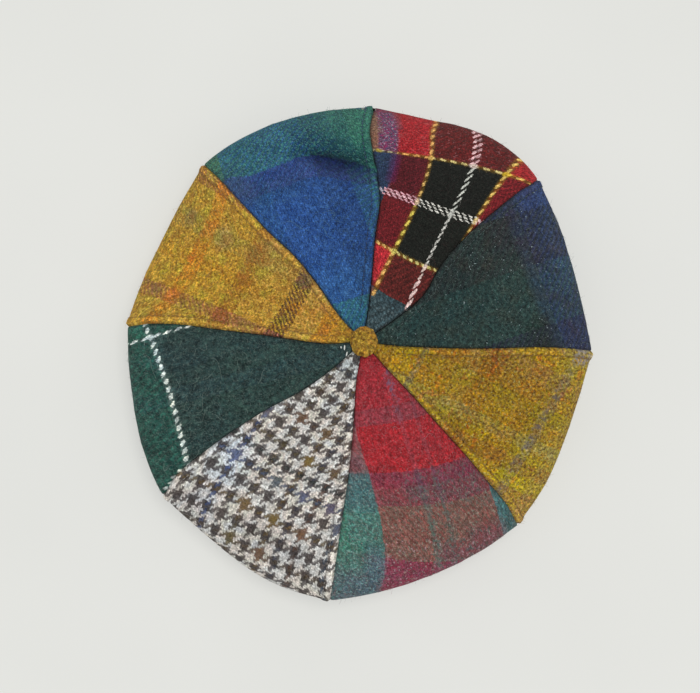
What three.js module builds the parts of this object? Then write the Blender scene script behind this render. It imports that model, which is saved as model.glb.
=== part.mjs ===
// Eight-piece patchwork tweed cap with a covered button, a head band and a short peak, lying on its band.
// Millimetres. +X is the wearer's right, +Y the front (peak side), +Z up. The origin is the middle of the
// underside of the whole cap's box. Every cloth piece is a closed wall with its own thickness.
import * as THREE from 'three';

// ---- driving dimensions ----------------------------------------------------------------------------
const CLOTH = 2.0;               // tweed and the interfacing behind it
const SEAM_GAP = 0.3;            // clearance between neighbouring pieces
const CROWN_CENTRE = { x: 2.1, y: 7.2 };   // where the eight seams meet, under the button
const CROWN_TOP = 62.0;          // outer face of the cloth beside the button
const CENTRE_HOLE = 6.0;         // radius left open at the middle of the crown for the button's shank
const TOP_FULLNESS = 2.3;        // exponent: how far out the top stays flat before it rolls down
const TOP_ROLL = 1.55;           // exponent: how round the roll down to the rim is
const UNDER_FULLNESS = 6.0;      // the same two for the turn from the rim to the underside
const UNDER_ROLL = 1.8;

const BAND = { x: 0, y: -3.0, innerX: 84.0, innerY: 100.0, wall: 3.0, height: 25.0 };   // head size 58 cm
const PEAK = { halfAngle: 62, depth: 42.0, endDepth: 4.0, thick: 3.4, arch: 8.0, fall: 3.0, rise: 2.2 };
const BUTTON = { radius: 8.9, height: 6.2, edge: 1.2, shankRadius: 4.6, shankLength: 4.0 };

const ACROSS = 8;                // cells across one panel
const TOP_ROWS = 12;             // rows from the button to the rim
const UNDER_ROWS = 7;            // rows from the rim to the band
const BAND_CELLS = 64;
const PEAK_CELLS = { along: 24, out: 5 };

// One row for each seam, anticlockwise from the wearer's right. angle: direction of its rim corner from
// the crown centre. reach: distance of that corner. rim: height of the fold line there. sag: how far the
// underside hangs below a straight line to the band. sway15..sway90: how far the seam drifts sideways
// (anticlockwise positive) at 15, 30, 45, 60, 75 and 90 % of its reach.
const SEAMS = [
  { at: 'right',       angle: 357.7, reach: 138.0, rim: 30, sag: 9, sway15: -1.5, sway30: -1.7, sway45: -1.4, sway60: -0.4, sway75: 1.0,  sway90: 1.0 },
  { at: 'front_right', angle: 42.8,  reach: 144.0, rim: 27, sag: 8, sway15: -2.8, sway30: -4.0, sway45: 2.0,  sway60: 4.3,  sway75: 3.9,  sway90: 2.5 },
  { at: 'front',       angle: 87.3,  reach: 141.7, rim: 24, sag: 8, sway15: -2.1, sway30: -3.3, sway45: -4.2, sway60: -5.8, sway75: -1.8, sway90: 1.8 },
  { at: 'front_left',  angle: 132.0, reach: 144.1, rim: 27, sag: 8, sway15: 0.2,  sway30: -2.6, sway45: -3.6, sway60: -1.8, sway75: -1.4, sway90: -1.2 },
  { at: 'left',        angle: 176.1, reach: 142.4, rim: 30, sag: 9, sway15: 2.4,  sway30: 1.3,  sway45: -0.4, sway60: -1.6, sway75: -3.0, sway90: -2.4 },
  { at: 'back_left',   angle: 217.4, reach: 151.8, rim: 28, sag: 11, sway15: 1.5,  sway30: 0.9,  sway45: -2.8, sway60: -4.8, sway75: -5.4, sway90: -4.6 },
  { at: 'back',        angle: 262.7, reach: 157.2, rim: 27, sag: 12, sway15: -1.1, sway30: 0.4,  sway45: 1.4,  sway60: 1.1,  sway75: 0.6,  sway90: 0.4 },
  { at: 'back_right',  angle: 310.4, reach: 143.9, rim: 29, sag: 11, sway15: 0.4,  sway30: 1.6,  sway45: 2.0,  sway60: 2.7,  sway75: 2.7,  sway90: 2.5 },
];

// One row for each panel, between the seam of the same row and the next. bulge: how far the middle of its
// rim stands out beyond a straight line between the two corners. skew: how far that bulge leans to the
// first corner. dip: how far the rim drops between the corners. puff: how far the top swells between seams.
const PANELS = [
  { name: 'crown_panel_right_front', bulge: 4.2,  skew: -0.3, dip: 2.0, puff: 1.2, colour: 0x20313a },
  { name: 'crown_panel_front_right', bulge: 10.8, skew: 2.4,  dip: 1.0, puff: 1.4, colour: 0x5f1f25 },
  { name: 'crown_panel_front_left',  bulge: 9.9,  skew: -0.4, dip: 1.0, puff: 1.4, colour: 0x2b4f82 },
  { name: 'crown_panel_left_front',  bulge: 3.4,  skew: -0.2, dip: 2.0, puff: 1.2, colour: 0xa8842f },
  { name: 'crown_panel_left_back',   bulge: 6.6,  skew: -0.8, dip: 2.5, puff: 1.0, colour: 0x23453d },
  { name: 'crown_panel_back_left',   bulge: 9.6,  skew: -1.5, dip: 3.0, puff: 1.0, colour: 0x9a938c },
  { name: 'crown_panel_back_right',  bulge: 9.0,  skew: -0.4, dip: 2.0, puff: 1.3, colour: 0x7c3540 },
  { name: 'crown_panel_right_back',  bulge: 6.0,  skew: 1.0,  dip: 2.5, puff: 1.2, colour: 0xa07f22 },
];

// Dents and swells of the top, one row each. x, y: place. long, wide: half sizes. turn: direction of the
// long way in degrees. depth: how far it goes down (negative swells up).
const DENTS = [
  { what: 'hollow behind the front edge', x: -9,  y: 115,  long: 24, wide: 8,  turn: -22, depth: 6.0 },
  { what: 'roll over the peak',           x: -6,  y: 132,  long: 40, wide: 9,  turn: -6,  depth: -2.5 },
  { what: 'slack beside the front seam',  x: 40,  y: 74,   long: 22, wide: 10, turn: 40,  depth: 1.8 },
  { what: 'slack on the left',            x: -88, y: 40,   long: 34, wide: 14, turn: 60,  depth: 1.5 },
  { what: 'slack at the back left',       x: -62, y: -78,  long: 36, wide: 14, turn: -48, depth: 2.2 },
  { what: 'slack at the back right',      x: 52,  y: -70,  long: 36, wide: 12, turn: 55,  depth: 1.6 },
  { what: 'tuck at the back edge',        x: -36, y: -130, long: 16, wide: 7,  turn: -32, depth: 4.0 },
];

// ---- small helpers ---------------------------------------------------------------------------------
const RAD = Math.PI / 180;
const lerp = (a, b, t) => a + (b - a) * t;
const vec = (x, y, z) => new THREE.Vector3(x, y, z);

function smoothTable(stations, values, t) {
  let i = 0;
  while (i < stations.length - 2 && t > stations[i + 1]) i += 1;
  const u = Math.min(1, Math.max(0, (t - stations[i]) / (stations[i + 1] - stations[i])));
  const p0 = values[Math.max(0, i - 1)], p1 = values[i], p2 = values[i + 1], p3 = values[Math.min(values.length - 1, i + 2)];
  return 0.5 * (2 * p1 + (p2 - p0) * u + (2 * p0 - 5 * p1 + 4 * p2 - p3) * u * u + (3 * p1 - p0 - 3 * p2 + p3) * u * u * u);
}

// ---- the crown's surface ---------------------------------------------------------------------------
const SWAY_AT = [0, 0.15, 0.30, 0.45, 0.60, 0.75, 0.90, 1.0];
const swayOf = (seam, rho) => smoothTable(
  SWAY_AT, [0, seam.sway15, seam.sway30, seam.sway45, seam.sway60, seam.sway75, seam.sway90, 0], rho);
const cornerOf = (seam) => ({
  x: CROWN_CENTRE.x + seam.reach * Math.cos(seam.angle * RAD),
  y: CROWN_CENTRE.y + seam.reach * Math.sin(seam.angle * RAD),
});

// The rim of one panel at a share s of the way from its first corner to its second.
function rimAt(panelIndex, s) {
  const panel = PANELS[panelIndex], first = SEAMS[panelIndex], second = SEAMS[(panelIndex + 1) % 8];
  const a = cornerOf(first), b = cornerOf(second);
  const length = Math.hypot(b.x - a.x, b.y - a.y);
  const outX = (b.y - a.y) / length, outY = -(b.x - a.x) / length;
  const out = panel.bulge * 4 * s * (1 - s) + panel.skew * Math.sin(2 * Math.PI * s);
  return {
    x: lerp(a.x, b.x, s) + outX * out,
    y: lerp(a.y, b.y, s) + outY * out,
    z: lerp(first.rim, second.rim, s) - panel.dip * Math.sin(Math.PI * s),
    sag: lerp(first.sag, second.sag, s),
  };
}

function dentAt(x, y) {
  let down = 0;
  for (const d of DENTS) {
    const c = Math.cos(d.turn * RAD), n = Math.sin(d.turn * RAD);
    const u = ((x - d.x) * c + (y - d.y) * n) / d.long, v = (-(x - d.x) * n + (y - d.y) * c) / d.wide;
    down += d.depth * Math.exp(-(u * u + v * v));
  }
  return down;
}

function topPoint(panelIndex, s, rho) {
  const rim = rimAt(panelIndex, s);
  const first = SEAMS[panelIndex], second = SEAMS[(panelIndex + 1) % 8];
  const w1 = (1 - s) * swayOf(first, rho), w2 = s * swayOf(second, rho);
  const x = CROWN_CENTRE.x + rho * (rim.x - CROWN_CENTRE.x)
    - w1 * Math.sin(first.angle * RAD) - w2 * Math.sin(second.angle * RAD);
  const y = CROWN_CENTRE.y + rho * (rim.y - CROWN_CENTRE.y)
    + w1 * Math.cos(first.angle * RAD) + w2 * Math.cos(second.angle * RAD);
  const dome = Math.pow(Math.max(0, 1 - Math.pow(rho, TOP_FULLNESS)), 1 / TOP_ROLL);
  const puff = PANELS[panelIndex].puff * Math.sin(Math.PI * s) * Math.sin(Math.PI * Math.min(1, rho));
  const z = rim.z + (CROWN_TOP - rim.z) * dome + puff - dentAt(x, y) * (1 - Math.pow(rho, 14));
  return vec(x, y, z);
}

const ringPoint = (angle, rx, ry) => ({ x: BAND.x + rx * Math.cos(angle), y: BAND.y + ry * Math.sin(angle) });
const bandOuter = { x: BAND.innerX + BAND.wall, y: BAND.innerY + BAND.wall };
const CROWN_LIP = BAND.height + SEAM_GAP;

function underPoint(panelIndex, s, e) {
  const rim = rimAt(panelIndex, s);
  const angle = Math.atan2((rim.y - BAND.y) / bandOuter.y, (rim.x - BAND.x) / bandOuter.x);
  const end = ringPoint(angle, bandOuter.x, bandOuter.y);
  const turn = Math.pow(1 - Math.pow(1 - e, UNDER_FULLNESS), 1 / UNDER_ROLL);
  const floor = CROWN_LIP - rim.sag * Math.sin(Math.PI * e);
  return vec(lerp(rim.x, end.x, e), lerp(rim.y, end.y, e), rim.z + (floor - rim.z) * turn);
}

// All rows of one line that runs from the button over the rim and under to the band's inner edge.
function meridian(panelIndex, s) {
  const line = [];
  for (let j = 0; j <= TOP_ROWS; j += 1) {
    const rim = rimAt(panelIndex, s);
    const least = CENTRE_HOLE / Math.hypot(rim.x - CROWN_CENTRE.x, rim.y - CROWN_CENTRE.y);
    const rho = Math.max(least, Math.pow(Math.sin((Math.PI / 2) * (j / TOP_ROWS)), 2 / TOP_FULLNESS));
    line.push(topPoint(panelIndex, s, j === 0 ? least : rho));
  }
  for (let j = 1; j <= UNDER_ROWS; j += 1) line.push(underPoint(panelIndex, s, Math.pow(j / UNDER_ROWS, 1.7)));
  const last = line[line.length - 1];
  const angle = Math.atan2((last.y - BAND.y) / bandOuter.y, (last.x - BAND.x) / bandOuter.x);
  const lip = ringPoint(angle, BAND.innerX, BAND.innerY);
  line.push(vec(lip.x, lip.y, CROWN_LIP));
  return line;
}

const columns = [];
for (let p = 0; p < 8; p += 1) for (let i = 0; i < ACROSS; i += 1) columns.push(meridian(p, i / ACROSS));
const ROWS = columns[0].length;
const column = (k) => columns[((k % columns.length) + columns.length) % columns.length];
const acrossAt = (k, j) => column(k + 1)[j].clone().sub(column(k - 1)[j]).normalize();
function normalAt(k, j) {
  const along = column(k)[Math.min(ROWS - 1, j + 1)].clone().sub(column(k)[Math.max(0, j - 1)]);
  return along.cross(acrossAt(k, j)).normalize();
}

// A closed wall between two grids of the same size: outer face, inner face and the four edges.
function wallBetween(outer, inner) {
  const nu = outer.length, nv = outer[0].length, position = [], index = [];
  for (const grid of [outer, inner]) for (const line of grid) for (const v of line) position.push(v.x, v.y, v.z);
  const id = (side, i, j) => side * nu * nv + i * nv + j;
  const quad = (a, b, c, d) => index.push(a, b, c, a, c, d);
  for (let i = 0; i < nu - 1; i += 1) for (let j = 0; j < nv - 1; j += 1) {
    quad(id(0, i, j), id(0, i, j + 1), id(0, i + 1, j + 1), id(0, i + 1, j));
    quad(id(1, i, j), id(1, i + 1, j), id(1, i + 1, j + 1), id(1, i, j + 1));
  }
  for (let j = 0; j < nv - 1; j += 1) {
    quad(id(0, 0, j), id(1, 0, j), id(1, 0, j + 1), id(0, 0, j + 1));
    quad(id(0, nu - 1, j), id(0, nu - 1, j + 1), id(1, nu - 1, j + 1), id(1, nu - 1, j));
  }
  for (let i = 0; i < nu - 1; i += 1) {
    quad(id(0, i, 0), id(0, i + 1, 0), id(1, i + 1, 0), id(1, i, 0));
    quad(id(0, i, nv - 1), id(1, i, nv - 1), id(1, i + 1, nv - 1), id(0, i + 1, nv - 1));
  }
  const geometry = new THREE.BufferGeometry();
  geometry.setAttribute('position', new THREE.Float32BufferAttribute(position, 3));
  geometry.setIndex(index);
  geometry.computeVertexNormals();
  return geometry;
}

function cloth(name, geometry, colour, roughness = 0.95) {
  const mesh = new THREE.Mesh(geometry, new THREE.MeshStandardMaterial({ color: colour, roughness, metalness: 0 }));
  mesh.name = name;
  return mesh;
}

const cap = new THREE.Group();
cap.name = 'patchwork_cap';

// ---- eight crown panels ----------------------------------------------------------------------------
PANELS.forEach((panel, p) => {
  const outer = [], inner = [];
  for (let i = 0; i <= ACROSS; i += 1) {
    const k = p * ACROSS + i;
    const pull = i === 0 ? SEAM_GAP / 2 : i === ACROSS ? -SEAM_GAP / 2 : 0;
    const o = [], n = [];
    for (let j = 0; j < ROWS; j += 1) {
      const at = column(k)[j].clone().addScaledVector(acrossAt(k, j), pull);
      o.push(at);
      n.push(at.clone().addScaledVector(normalAt(k, j), -CLOTH));
    }
    outer.push(o);
    inner.push(n);
  }
  cap.add(cloth(panel.name, wallBetween(outer, inner), panel.colour));
});

// ---- covered button: a low dome on a short shank ---------------------------------------------------
{
  const low = CROWN_TOP + SEAM_GAP, r = BUTTON.radius, h = BUTTON.height;
  const profile = [
    [0, low - BUTTON.shankLength], [BUTTON.shankRadius, low - BUTTON.shankLength], [BUTTON.shankRadius, low],
    [r - BUTTON.edge, low], [r, low + BUTTON.edge], [r - 0.5, low + 0.52 * h], [r * 0.72, low + 0.82 * h],
    [r * 0.38, low + 0.96 * h], [0, low + h],
  ].map(([x, y]) => new THREE.Vector2(x, y));
  const dome = new THREE.LatheGeometry(profile, 28);
  dome.rotateX(Math.PI / 2);
  dome.translate(CROWN_CENTRE.x, CROWN_CENTRE.y, 0);
  cap.add(cloth('button', dome, 0x9a7628, 0.9));
}

// ---- head band: an upright oval ring with a flat lower edge ----------------------------------------
{
  const position = [], index = [];
  const ring = [[0, 0], [BAND.wall, 0], [BAND.wall, BAND.height], [0, BAND.height]];
  for (let i = 0; i < BAND_CELLS; i += 1) {
    const angle = (2 * Math.PI * i) / BAND_CELLS;
    for (const [out, z] of ring) {
      const at = ringPoint(angle, BAND.innerX + out, BAND.innerY + out);
      position.push(at.x, at.y, z);
    }
  }
  for (let i = 0; i < BAND_CELLS; i += 1) for (let c = 0; c < 4; c += 1) {
    const n = (i + 1) % BAND_CELLS, d = (c + 1) % 4;
    const a = i * 4 + c, b = n * 4 + c, e = n * 4 + d, f = i * 4 + d;
    index.push(a, b, e, a, e, f);
  }
  const geometry = new THREE.BufferGeometry();
  geometry.setAttribute('position', new THREE.Float32BufferAttribute(position, 3));
  geometry.setIndex(index);
  geometry.computeVertexNormals();
  cap.add(cloth('head_band', geometry, 0x2b3431));
}

// ---- peak: an arched crescent under the front of the crown -----------------------------------------
{
  const inX = bandOuter.x + SEAM_GAP + 0.25, inY = bandOuter.y + SEAM_GAP + 0.25;
  const upper = [], lower = [];
  for (let i = 0; i <= PEAK_CELLS.along; i += 1) {
    const share = -1 + (2 * i) / PEAK_CELLS.along;
    const angle = (90 + share * PEAK.halfAngle) * RAD;
    const root = ringPoint(angle, inX, inY);
    const nx = Math.cos(angle) / inX, ny = Math.sin(angle) / inY, nl = Math.hypot(nx, ny);
    const depth = PEAK.endDepth + (PEAK.depth - PEAK.endDepth) * Math.pow(Math.cos((Math.PI / 2) * share), 0.7);
    const u = [], l = [];
    for (let j = 0; j <= PEAK_CELLS.out; j += 1) {
      const t = j / PEAK_CELLS.out;
      const x = root.x + (nx / nl) * depth * t, y = root.y + (ny / nl) * depth * t;
      const mid = PEAK.rise + PEAK.arch * (1 - share * share) - PEAK.fall * t * (depth / PEAK.depth);
      const half = PEAK.thick / 2 * (1 - 0.45 * Math.pow(t, 4));
      u.push(vec(x, y, mid + half));
      l.push(vec(x, y, mid - half));
    }
    upper.push(u);
    lower.push(l);
  }
  cap.add(cloth('peak', wallBetween(upper, lower), 0x2b3431));
}

export default cap;
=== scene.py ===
"""Eight-panel tweed cap with a covered button, a head band and a short peak, resting on a pale table."""

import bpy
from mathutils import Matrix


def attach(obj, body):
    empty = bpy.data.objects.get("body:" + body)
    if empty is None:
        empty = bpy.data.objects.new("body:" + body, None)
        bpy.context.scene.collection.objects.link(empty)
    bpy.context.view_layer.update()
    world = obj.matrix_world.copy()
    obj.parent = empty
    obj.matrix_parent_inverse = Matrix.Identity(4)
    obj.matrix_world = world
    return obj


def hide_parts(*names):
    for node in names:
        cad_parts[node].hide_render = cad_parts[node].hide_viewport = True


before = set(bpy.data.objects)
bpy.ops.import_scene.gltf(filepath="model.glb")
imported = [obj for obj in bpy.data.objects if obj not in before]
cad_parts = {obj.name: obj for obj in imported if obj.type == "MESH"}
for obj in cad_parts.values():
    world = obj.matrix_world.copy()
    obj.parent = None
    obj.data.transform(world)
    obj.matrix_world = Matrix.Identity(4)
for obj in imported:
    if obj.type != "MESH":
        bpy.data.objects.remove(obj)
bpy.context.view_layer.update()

import math

import bpy
import numpy as np

MM = 0.001
RAD = math.pi / 180

# ---------------------------------------------------------------- the cap's construction, in millimetres
CLOTH = 2.0
SEAM_GAP = 0.3
CROWN_CENTRE = (2.1, 7.2)
CROWN_TOP = 62.0
CENTRE_HOLE = 6.0
TOP_FULLNESS, TOP_ROLL = 2.3, 1.55
UNDER_FULLNESS, UNDER_ROLL = 6.0, 1.8
BAND = dict(x=0.0, y=-3.0, inner_x=84.0, inner_y=100.0, wall=3.0, height=25.0)
PEAK = dict(half_angle=62.0, depth=42.0, end_depth=4.0, thick=3.4, arch=8.0, fall=3.0, rise=2.2)
BUTTON = dict(radius=8.9, height=6.2)
STATIONS = np.array([0, 0.15, 0.3, 0.45, 0.6, 0.75, 0.9, 1.0])

# one row for each seam, anticlockwise from the wearer's right; sway is the sideways wander at the inner stations
SEAMS = [
    dict(at="right", angle=357.7, reach=138.0, rim=30, sag=9, sway=(-1.5, -1.7, -1.4, -0.4, 1.0, 1.0)),
    dict(at="front_right", angle=42.8, reach=144.0, rim=27, sag=8, sway=(-2.8, -4.0, 2.0, 4.3, 3.9, 2.5)),
    dict(at="front", angle=87.3, reach=141.7, rim=24, sag=8, sway=(-2.1, -3.3, -4.2, -5.8, -1.8, 1.8)),
    dict(at="front_left", angle=132.0, reach=144.1, rim=27, sag=8, sway=(0.2, -2.6, -3.6, -1.8, -1.4, -1.2)),
    dict(at="left", angle=176.1, reach=142.4, rim=30, sag=9, sway=(2.4, 1.3, -0.4, -1.6, -3.0, -2.4)),
    dict(at="back_left", angle=217.4, reach=151.8, rim=28, sag=11, sway=(1.5, 0.9, -2.8, -4.8, -5.4, -4.6)),
    dict(at="back", angle=262.7, reach=157.2, rim=27, sag=12, sway=(-1.1, 0.4, 1.4, 1.1, 0.6, 0.4)),
    dict(at="back_right", angle=310.4, reach=143.9, rim=29, sag=11, sway=(0.4, 1.6, 2.0, 2.7, 2.7, 2.5)),
]
# one row for each panel; stitched says on which of its two seams (first, second) the allowances lie under it,
# pressed flat and topstitched, edge is how far the ridge over them gets a painted highlight, and deep how far each seam
# darkens it with painted shade
PANELS = [
    dict(node="crown_panel_right_front", slot="navy_green_tweed", edge=0.12, bulge=4.2, skew=-0.3, dip=2.0, puff=1.2, stitched=(0, 1), deep=(0.4, 0.6)),
    dict(node="crown_panel_front_right", slot="red_black_tartan", edge=0, bulge=10.8, skew=2.4, dip=1.0, puff=1.4, stitched=(0, 0), deep=(0.6, 0.8)),
    dict(node="crown_panel_front_left", slot="blue_teal_tweed", edge=0.1, bulge=9.9, skew=-0.4, dip=1.0, puff=1.4, stitched=(1, 0), deep=(0.7, 0.6)),
    dict(node="crown_panel_left_front", slot="mustard_check_tweed", edge=0.42, bulge=3.4, skew=-0.2, dip=2.0, puff=1.2, stitched=(1, 1), deep=(0.6, 0.5)),
    dict(node="crown_panel_left_back", slot="dark_green_windowpane", edge=0, bulge=6.6, skew=-0.8, dip=2.5, puff=1.0, stitched=(0, 0), deep=(0.6, 0.2)),
    dict(node="crown_panel_back_left", slot="houndstooth_tweed", edge=0.3, bulge=9.6, skew=-1.5, dip=3.0, puff=1.0, stitched=(1, 1), deep=(0.1, 0.2)),
    dict(node="crown_panel_back_right", slot="red_teal_tartan", edge=0, bulge=9.0, skew=-0.4, dip=2.0, puff=1.3, stitched=(0, 0), deep=(0.25, 0.5)),
    dict(node="crown_panel_right_back", slot="golden_heather_tweed", edge=0.35, bulge=6.0, skew=1.0, dip=2.5, puff=1.2, stitched=(1, 1), deep=(0.2, 0.4)),
]
# x, y, long, wide, turn, depth of the crown's soft hollows (negative depth: a roll)
DENTS = [
    (-8, 112, 25, 8, -16, 6.0),
    (-6, 132, 40, 9, -6, -2.5),
    (40, 74, 22, 10, 40, 1.8),
    (-88, 40, 34, 14, 60, 1.5),
    (-62, -78, 36, 14, -48, 2.2),
    (52, -70, 36, 12, 55, 1.6),
    (-36, -130, 16, 7, -32, 4.0),
]

# folds sharper than the hollows: the places (x, y) they run through, depth, reach on the outer and the inner side,
# the height of the roll of cloth beyond the fold, and the painted shade put into the fold's colour
CREASES = [
    dict(run=((-38, 119.5), (-27, 117.6), (-17, 115.4), (-8, 113.0), (2, 109.8), (10, 106.6)), depth=5.6, outer=2.4, inner=7.0, roll=1.6, shade=0.8),
    dict(run=((-57, -122), (-46, -131), (-36, -136), (-24, -141)), depth=1.6, outer=1.6, inner=2.6, roll=0.5, shade=0.35),
]

ACROSS = 96  # cells across a panel's outer face
TOP_CELLS, UNDER_CELLS, LIP_CELLS = 196, 64, 4
COARSE = 4  # the inner face has one cell for this many outer cells each way
TOPSTITCH_AT, STITCH_PITCH, STITCH_LENGTH, STITCH_THREAD = 4.8, 3.0, 2.2, 0.26


def smooth_table(values, t):
    v = np.array([0, *values, 0.0])
    t = np.asarray(t, float)
    i = np.clip(np.searchsorted(STATIONS, t, side="left") - 1, 0, len(STATIONS) - 2)
    u = np.clip((t - STATIONS[i]) / (STATIONS[i + 1] - STATIONS[i]), 0, 1)
    p0, p1, p2, p3 = v[np.maximum(i - 1, 0)], v[i], v[i + 1], v[np.minimum(i + 2, len(v) - 1)]
    return 0.5 * (2 * p1 + (p2 - p0) * u + (2 * p0 - 5 * p1 + 4 * p2 - p3) * u * u + (3 * p1 - p0 - 3 * p2 + p3) * u**3)


def corner_of(k):
    s = SEAMS[k % 8]
    return np.array(
        [
            CROWN_CENTRE[0] + s["reach"] * math.cos(s["angle"] * RAD),
            CROWN_CENTRE[1] + s["reach"] * math.sin(s["angle"] * RAD),
        ]
    )


def rim_at(p, s):
    row, first, second = PANELS[p], SEAMS[p], SEAMS[(p + 1) % 8]
    a, b = corner_of(p), corner_of(p + 1)
    length = math.hypot(*(b - a))
    ox, oy = (b[1] - a[1]) / length, -(b[0] - a[0]) / length
    out = row["bulge"] * 4 * s * (1 - s) + row["skew"] * np.sin(2 * np.pi * s)
    return (
        a[0] + (b[0] - a[0]) * s + ox * out,
        a[1] + (b[1] - a[1]) * s + oy * out,
        first["rim"] + (second["rim"] - first["rim"]) * s - row["dip"] * np.sin(np.pi * s),
        first["sag"] + (second["sag"] - first["sag"]) * s,
    )


def dent_at(x, y):
    total = 0
    for dx, dy, long, wide, turn, depth in DENTS:
        c, n = math.cos(turn * RAD), math.sin(turn * RAD)
        u = ((x - dx) * c + (y - dy) * n) / long
        v = (-(x - dx) * n + (y - dy) * c) / wide
        total = total + depth * np.exp(-(u * u + v * v))
    return total


def top_point(p, s, rho):
    rx, ry, rz, _ = rim_at(p, s)
    first, second = SEAMS[p], SEAMS[(p + 1) % 8]
    w1 = (1 - s) * smooth_table(first["sway"], rho)
    w2 = s * smooth_table(second["sway"], rho)
    a1, a2 = first["angle"] * RAD, second["angle"] * RAD
    x = CROWN_CENTRE[0] + rho * (rx - CROWN_CENTRE[0]) - w1 * math.sin(a1) - w2 * math.sin(a2)
    y = CROWN_CENTRE[1] + rho * (ry - CROWN_CENTRE[1]) + w1 * math.cos(a1) + w2 * math.cos(a2)
    dome = np.maximum(0, 1 - rho**TOP_FULLNESS) ** (1 / TOP_ROLL)
    puff = PANELS[p]["puff"] * np.sin(np.pi * s) * np.sin(np.pi * np.minimum(1, rho))
    z = rz + (CROWN_TOP - rz) * dome + puff - dent_at(x, y) * (1 - rho**14)
    return np.stack([x, y, z], -1)


def under_point(p, s, e):
    rx, ry, rz, sag = rim_at(p, s)
    ox, oy = BAND["inner_x"] + BAND["wall"], BAND["inner_y"] + BAND["wall"]
    angle = np.arctan2((ry - BAND["y"]) / oy, (rx - BAND["x"]) / ox)
    ex, ey = BAND["x"] + ox * np.cos(angle), BAND["y"] + oy * np.sin(angle)
    turn = (1 - (1 - e) ** UNDER_FULLNESS) ** (1 / UNDER_ROLL)
    floor = BAND["height"] + SEAM_GAP - sag * np.sin(np.pi * e)
    return np.stack([rx + (ex - rx) * e, ry + (ey - ry) * e, rz + (floor - rz) * turn], -1)


def lip_point(p, s, t):
    rx, ry, _, _ = rim_at(p, s)
    ox, oy = BAND["inner_x"] + BAND["wall"], BAND["inner_y"] + BAND["wall"]
    angle = np.arctan2((ry - BAND["y"]) / oy, (rx - BAND["x"]) / ox)
    ax, ay = ox - BAND["wall"] * t, oy - BAND["wall"] * t
    z = (BAND["height"] + SEAM_GAP) * np.ones_like(angle + t)
    return np.stack([BAND["x"] + ax * np.cos(angle), BAND["y"] + ay * np.sin(angle), z], -1)


def crease_at(x, y):
    """How deep the creases are at a place, and how much shade they hold."""
    drop, shade = np.zeros_like(x), np.zeros_like(x)
    for row in CREASES:
        run = np.array(row["run"], float)
        best, where, side = np.full_like(x, 1e9), np.zeros_like(x), np.zeros_like(x)
        lengths = np.concatenate([[0], np.cumsum(np.hypot(*np.diff(run, axis=0).T))])
        for k in range(len(run) - 1):
            (ax, ay), (bx, by) = run[k], run[k + 1]
            length = math.hypot(bx - ax, by - ay)
            ux, uy = (bx - ax) / length, (by - ay) / length
            t = np.clip((x - ax) * ux + (y - ay) * uy, 0, length)
            ex, ey = x - ax - t * ux, y - ay - t * uy
            d = np.hypot(ex, ey)
            closer = d < best
            out = np.sign(ex * (ax - CROWN_CENTRE[0]) + ey * (ay - CROWN_CENTRE[1]))
            best, side = np.where(closer, d, best), np.where(closer, out, side)
            where = np.where(closer, (lengths[k] + t) / lengths[-1], where)
        ends = np.sin(np.pi * np.clip(0.04 + 0.92 * where, 0, 1)) ** 0.8
        reach = np.where(side > 0, row["outer"], row["inner"])
        drop = drop + row["depth"] * ends * np.exp(-((best / reach) ** 2))
        drop = drop - row["roll"] * ends * np.where(side > 0, np.exp(-(((best - 2.6 * row["outer"]) / (1.6 * row["outer"])) ** 2)), 0)
        shade = shade + row["shade"] * ends * np.exp(-((best / np.where(side > 0, row["outer"] * 0.9, row["inner"] * 0.75)) ** 2))
    return drop, shade


def hashed(ix, iy, seed):
    h = (ix.astype(np.int64) * 374761393 + iy.astype(np.int64) * 668265263 + seed * 144269504) & 0xFFFFFFFF
    h = ((h ^ (h >> 13)) * 1274126177) & 0xFFFFFFFF
    return ((h ^ (h >> 16)) & 0xFFFFFF) / float(0xFFFFFF)


def lumps(x, y, seed):
    """Smooth value noise from -1 to 1, one lump a unit."""
    ix, iy = np.floor(x), np.floor(y)
    fx, fy = x - ix, y - iy
    fx, fy = fx * fx * fx * (fx * (fx * 6 - 15) + 10), fy * fy * fy * (fy * (fy * 6 - 15) + 10)
    a, b = hashed(ix, iy, seed), hashed(ix + 1, iy, seed)
    c, d = hashed(ix, iy + 1, seed), hashed(ix + 1, iy + 1, seed)
    return 2 * ((a + (b - a) * fx) * (1 - fy) + (c + (d - c) * fx) * fy) - 1


def ease(lo, hi, x):
    t = np.clip((x - lo) / (hi - lo), 0, 1)
    return t * t * (3 - 2 * t)


def unit(v):
    return v / np.maximum(np.linalg.norm(v, axis=-1, keepdims=True), 1e-12)


def grid_normals(P, outward):
    n = unit(np.cross(np.gradient(P, axis=0), np.gradient(P, axis=1)))
    if np.sum(n[P.shape[0] // 3, P.shape[1] // 2] * outward) < 0:
        n = -n
    return n


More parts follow.
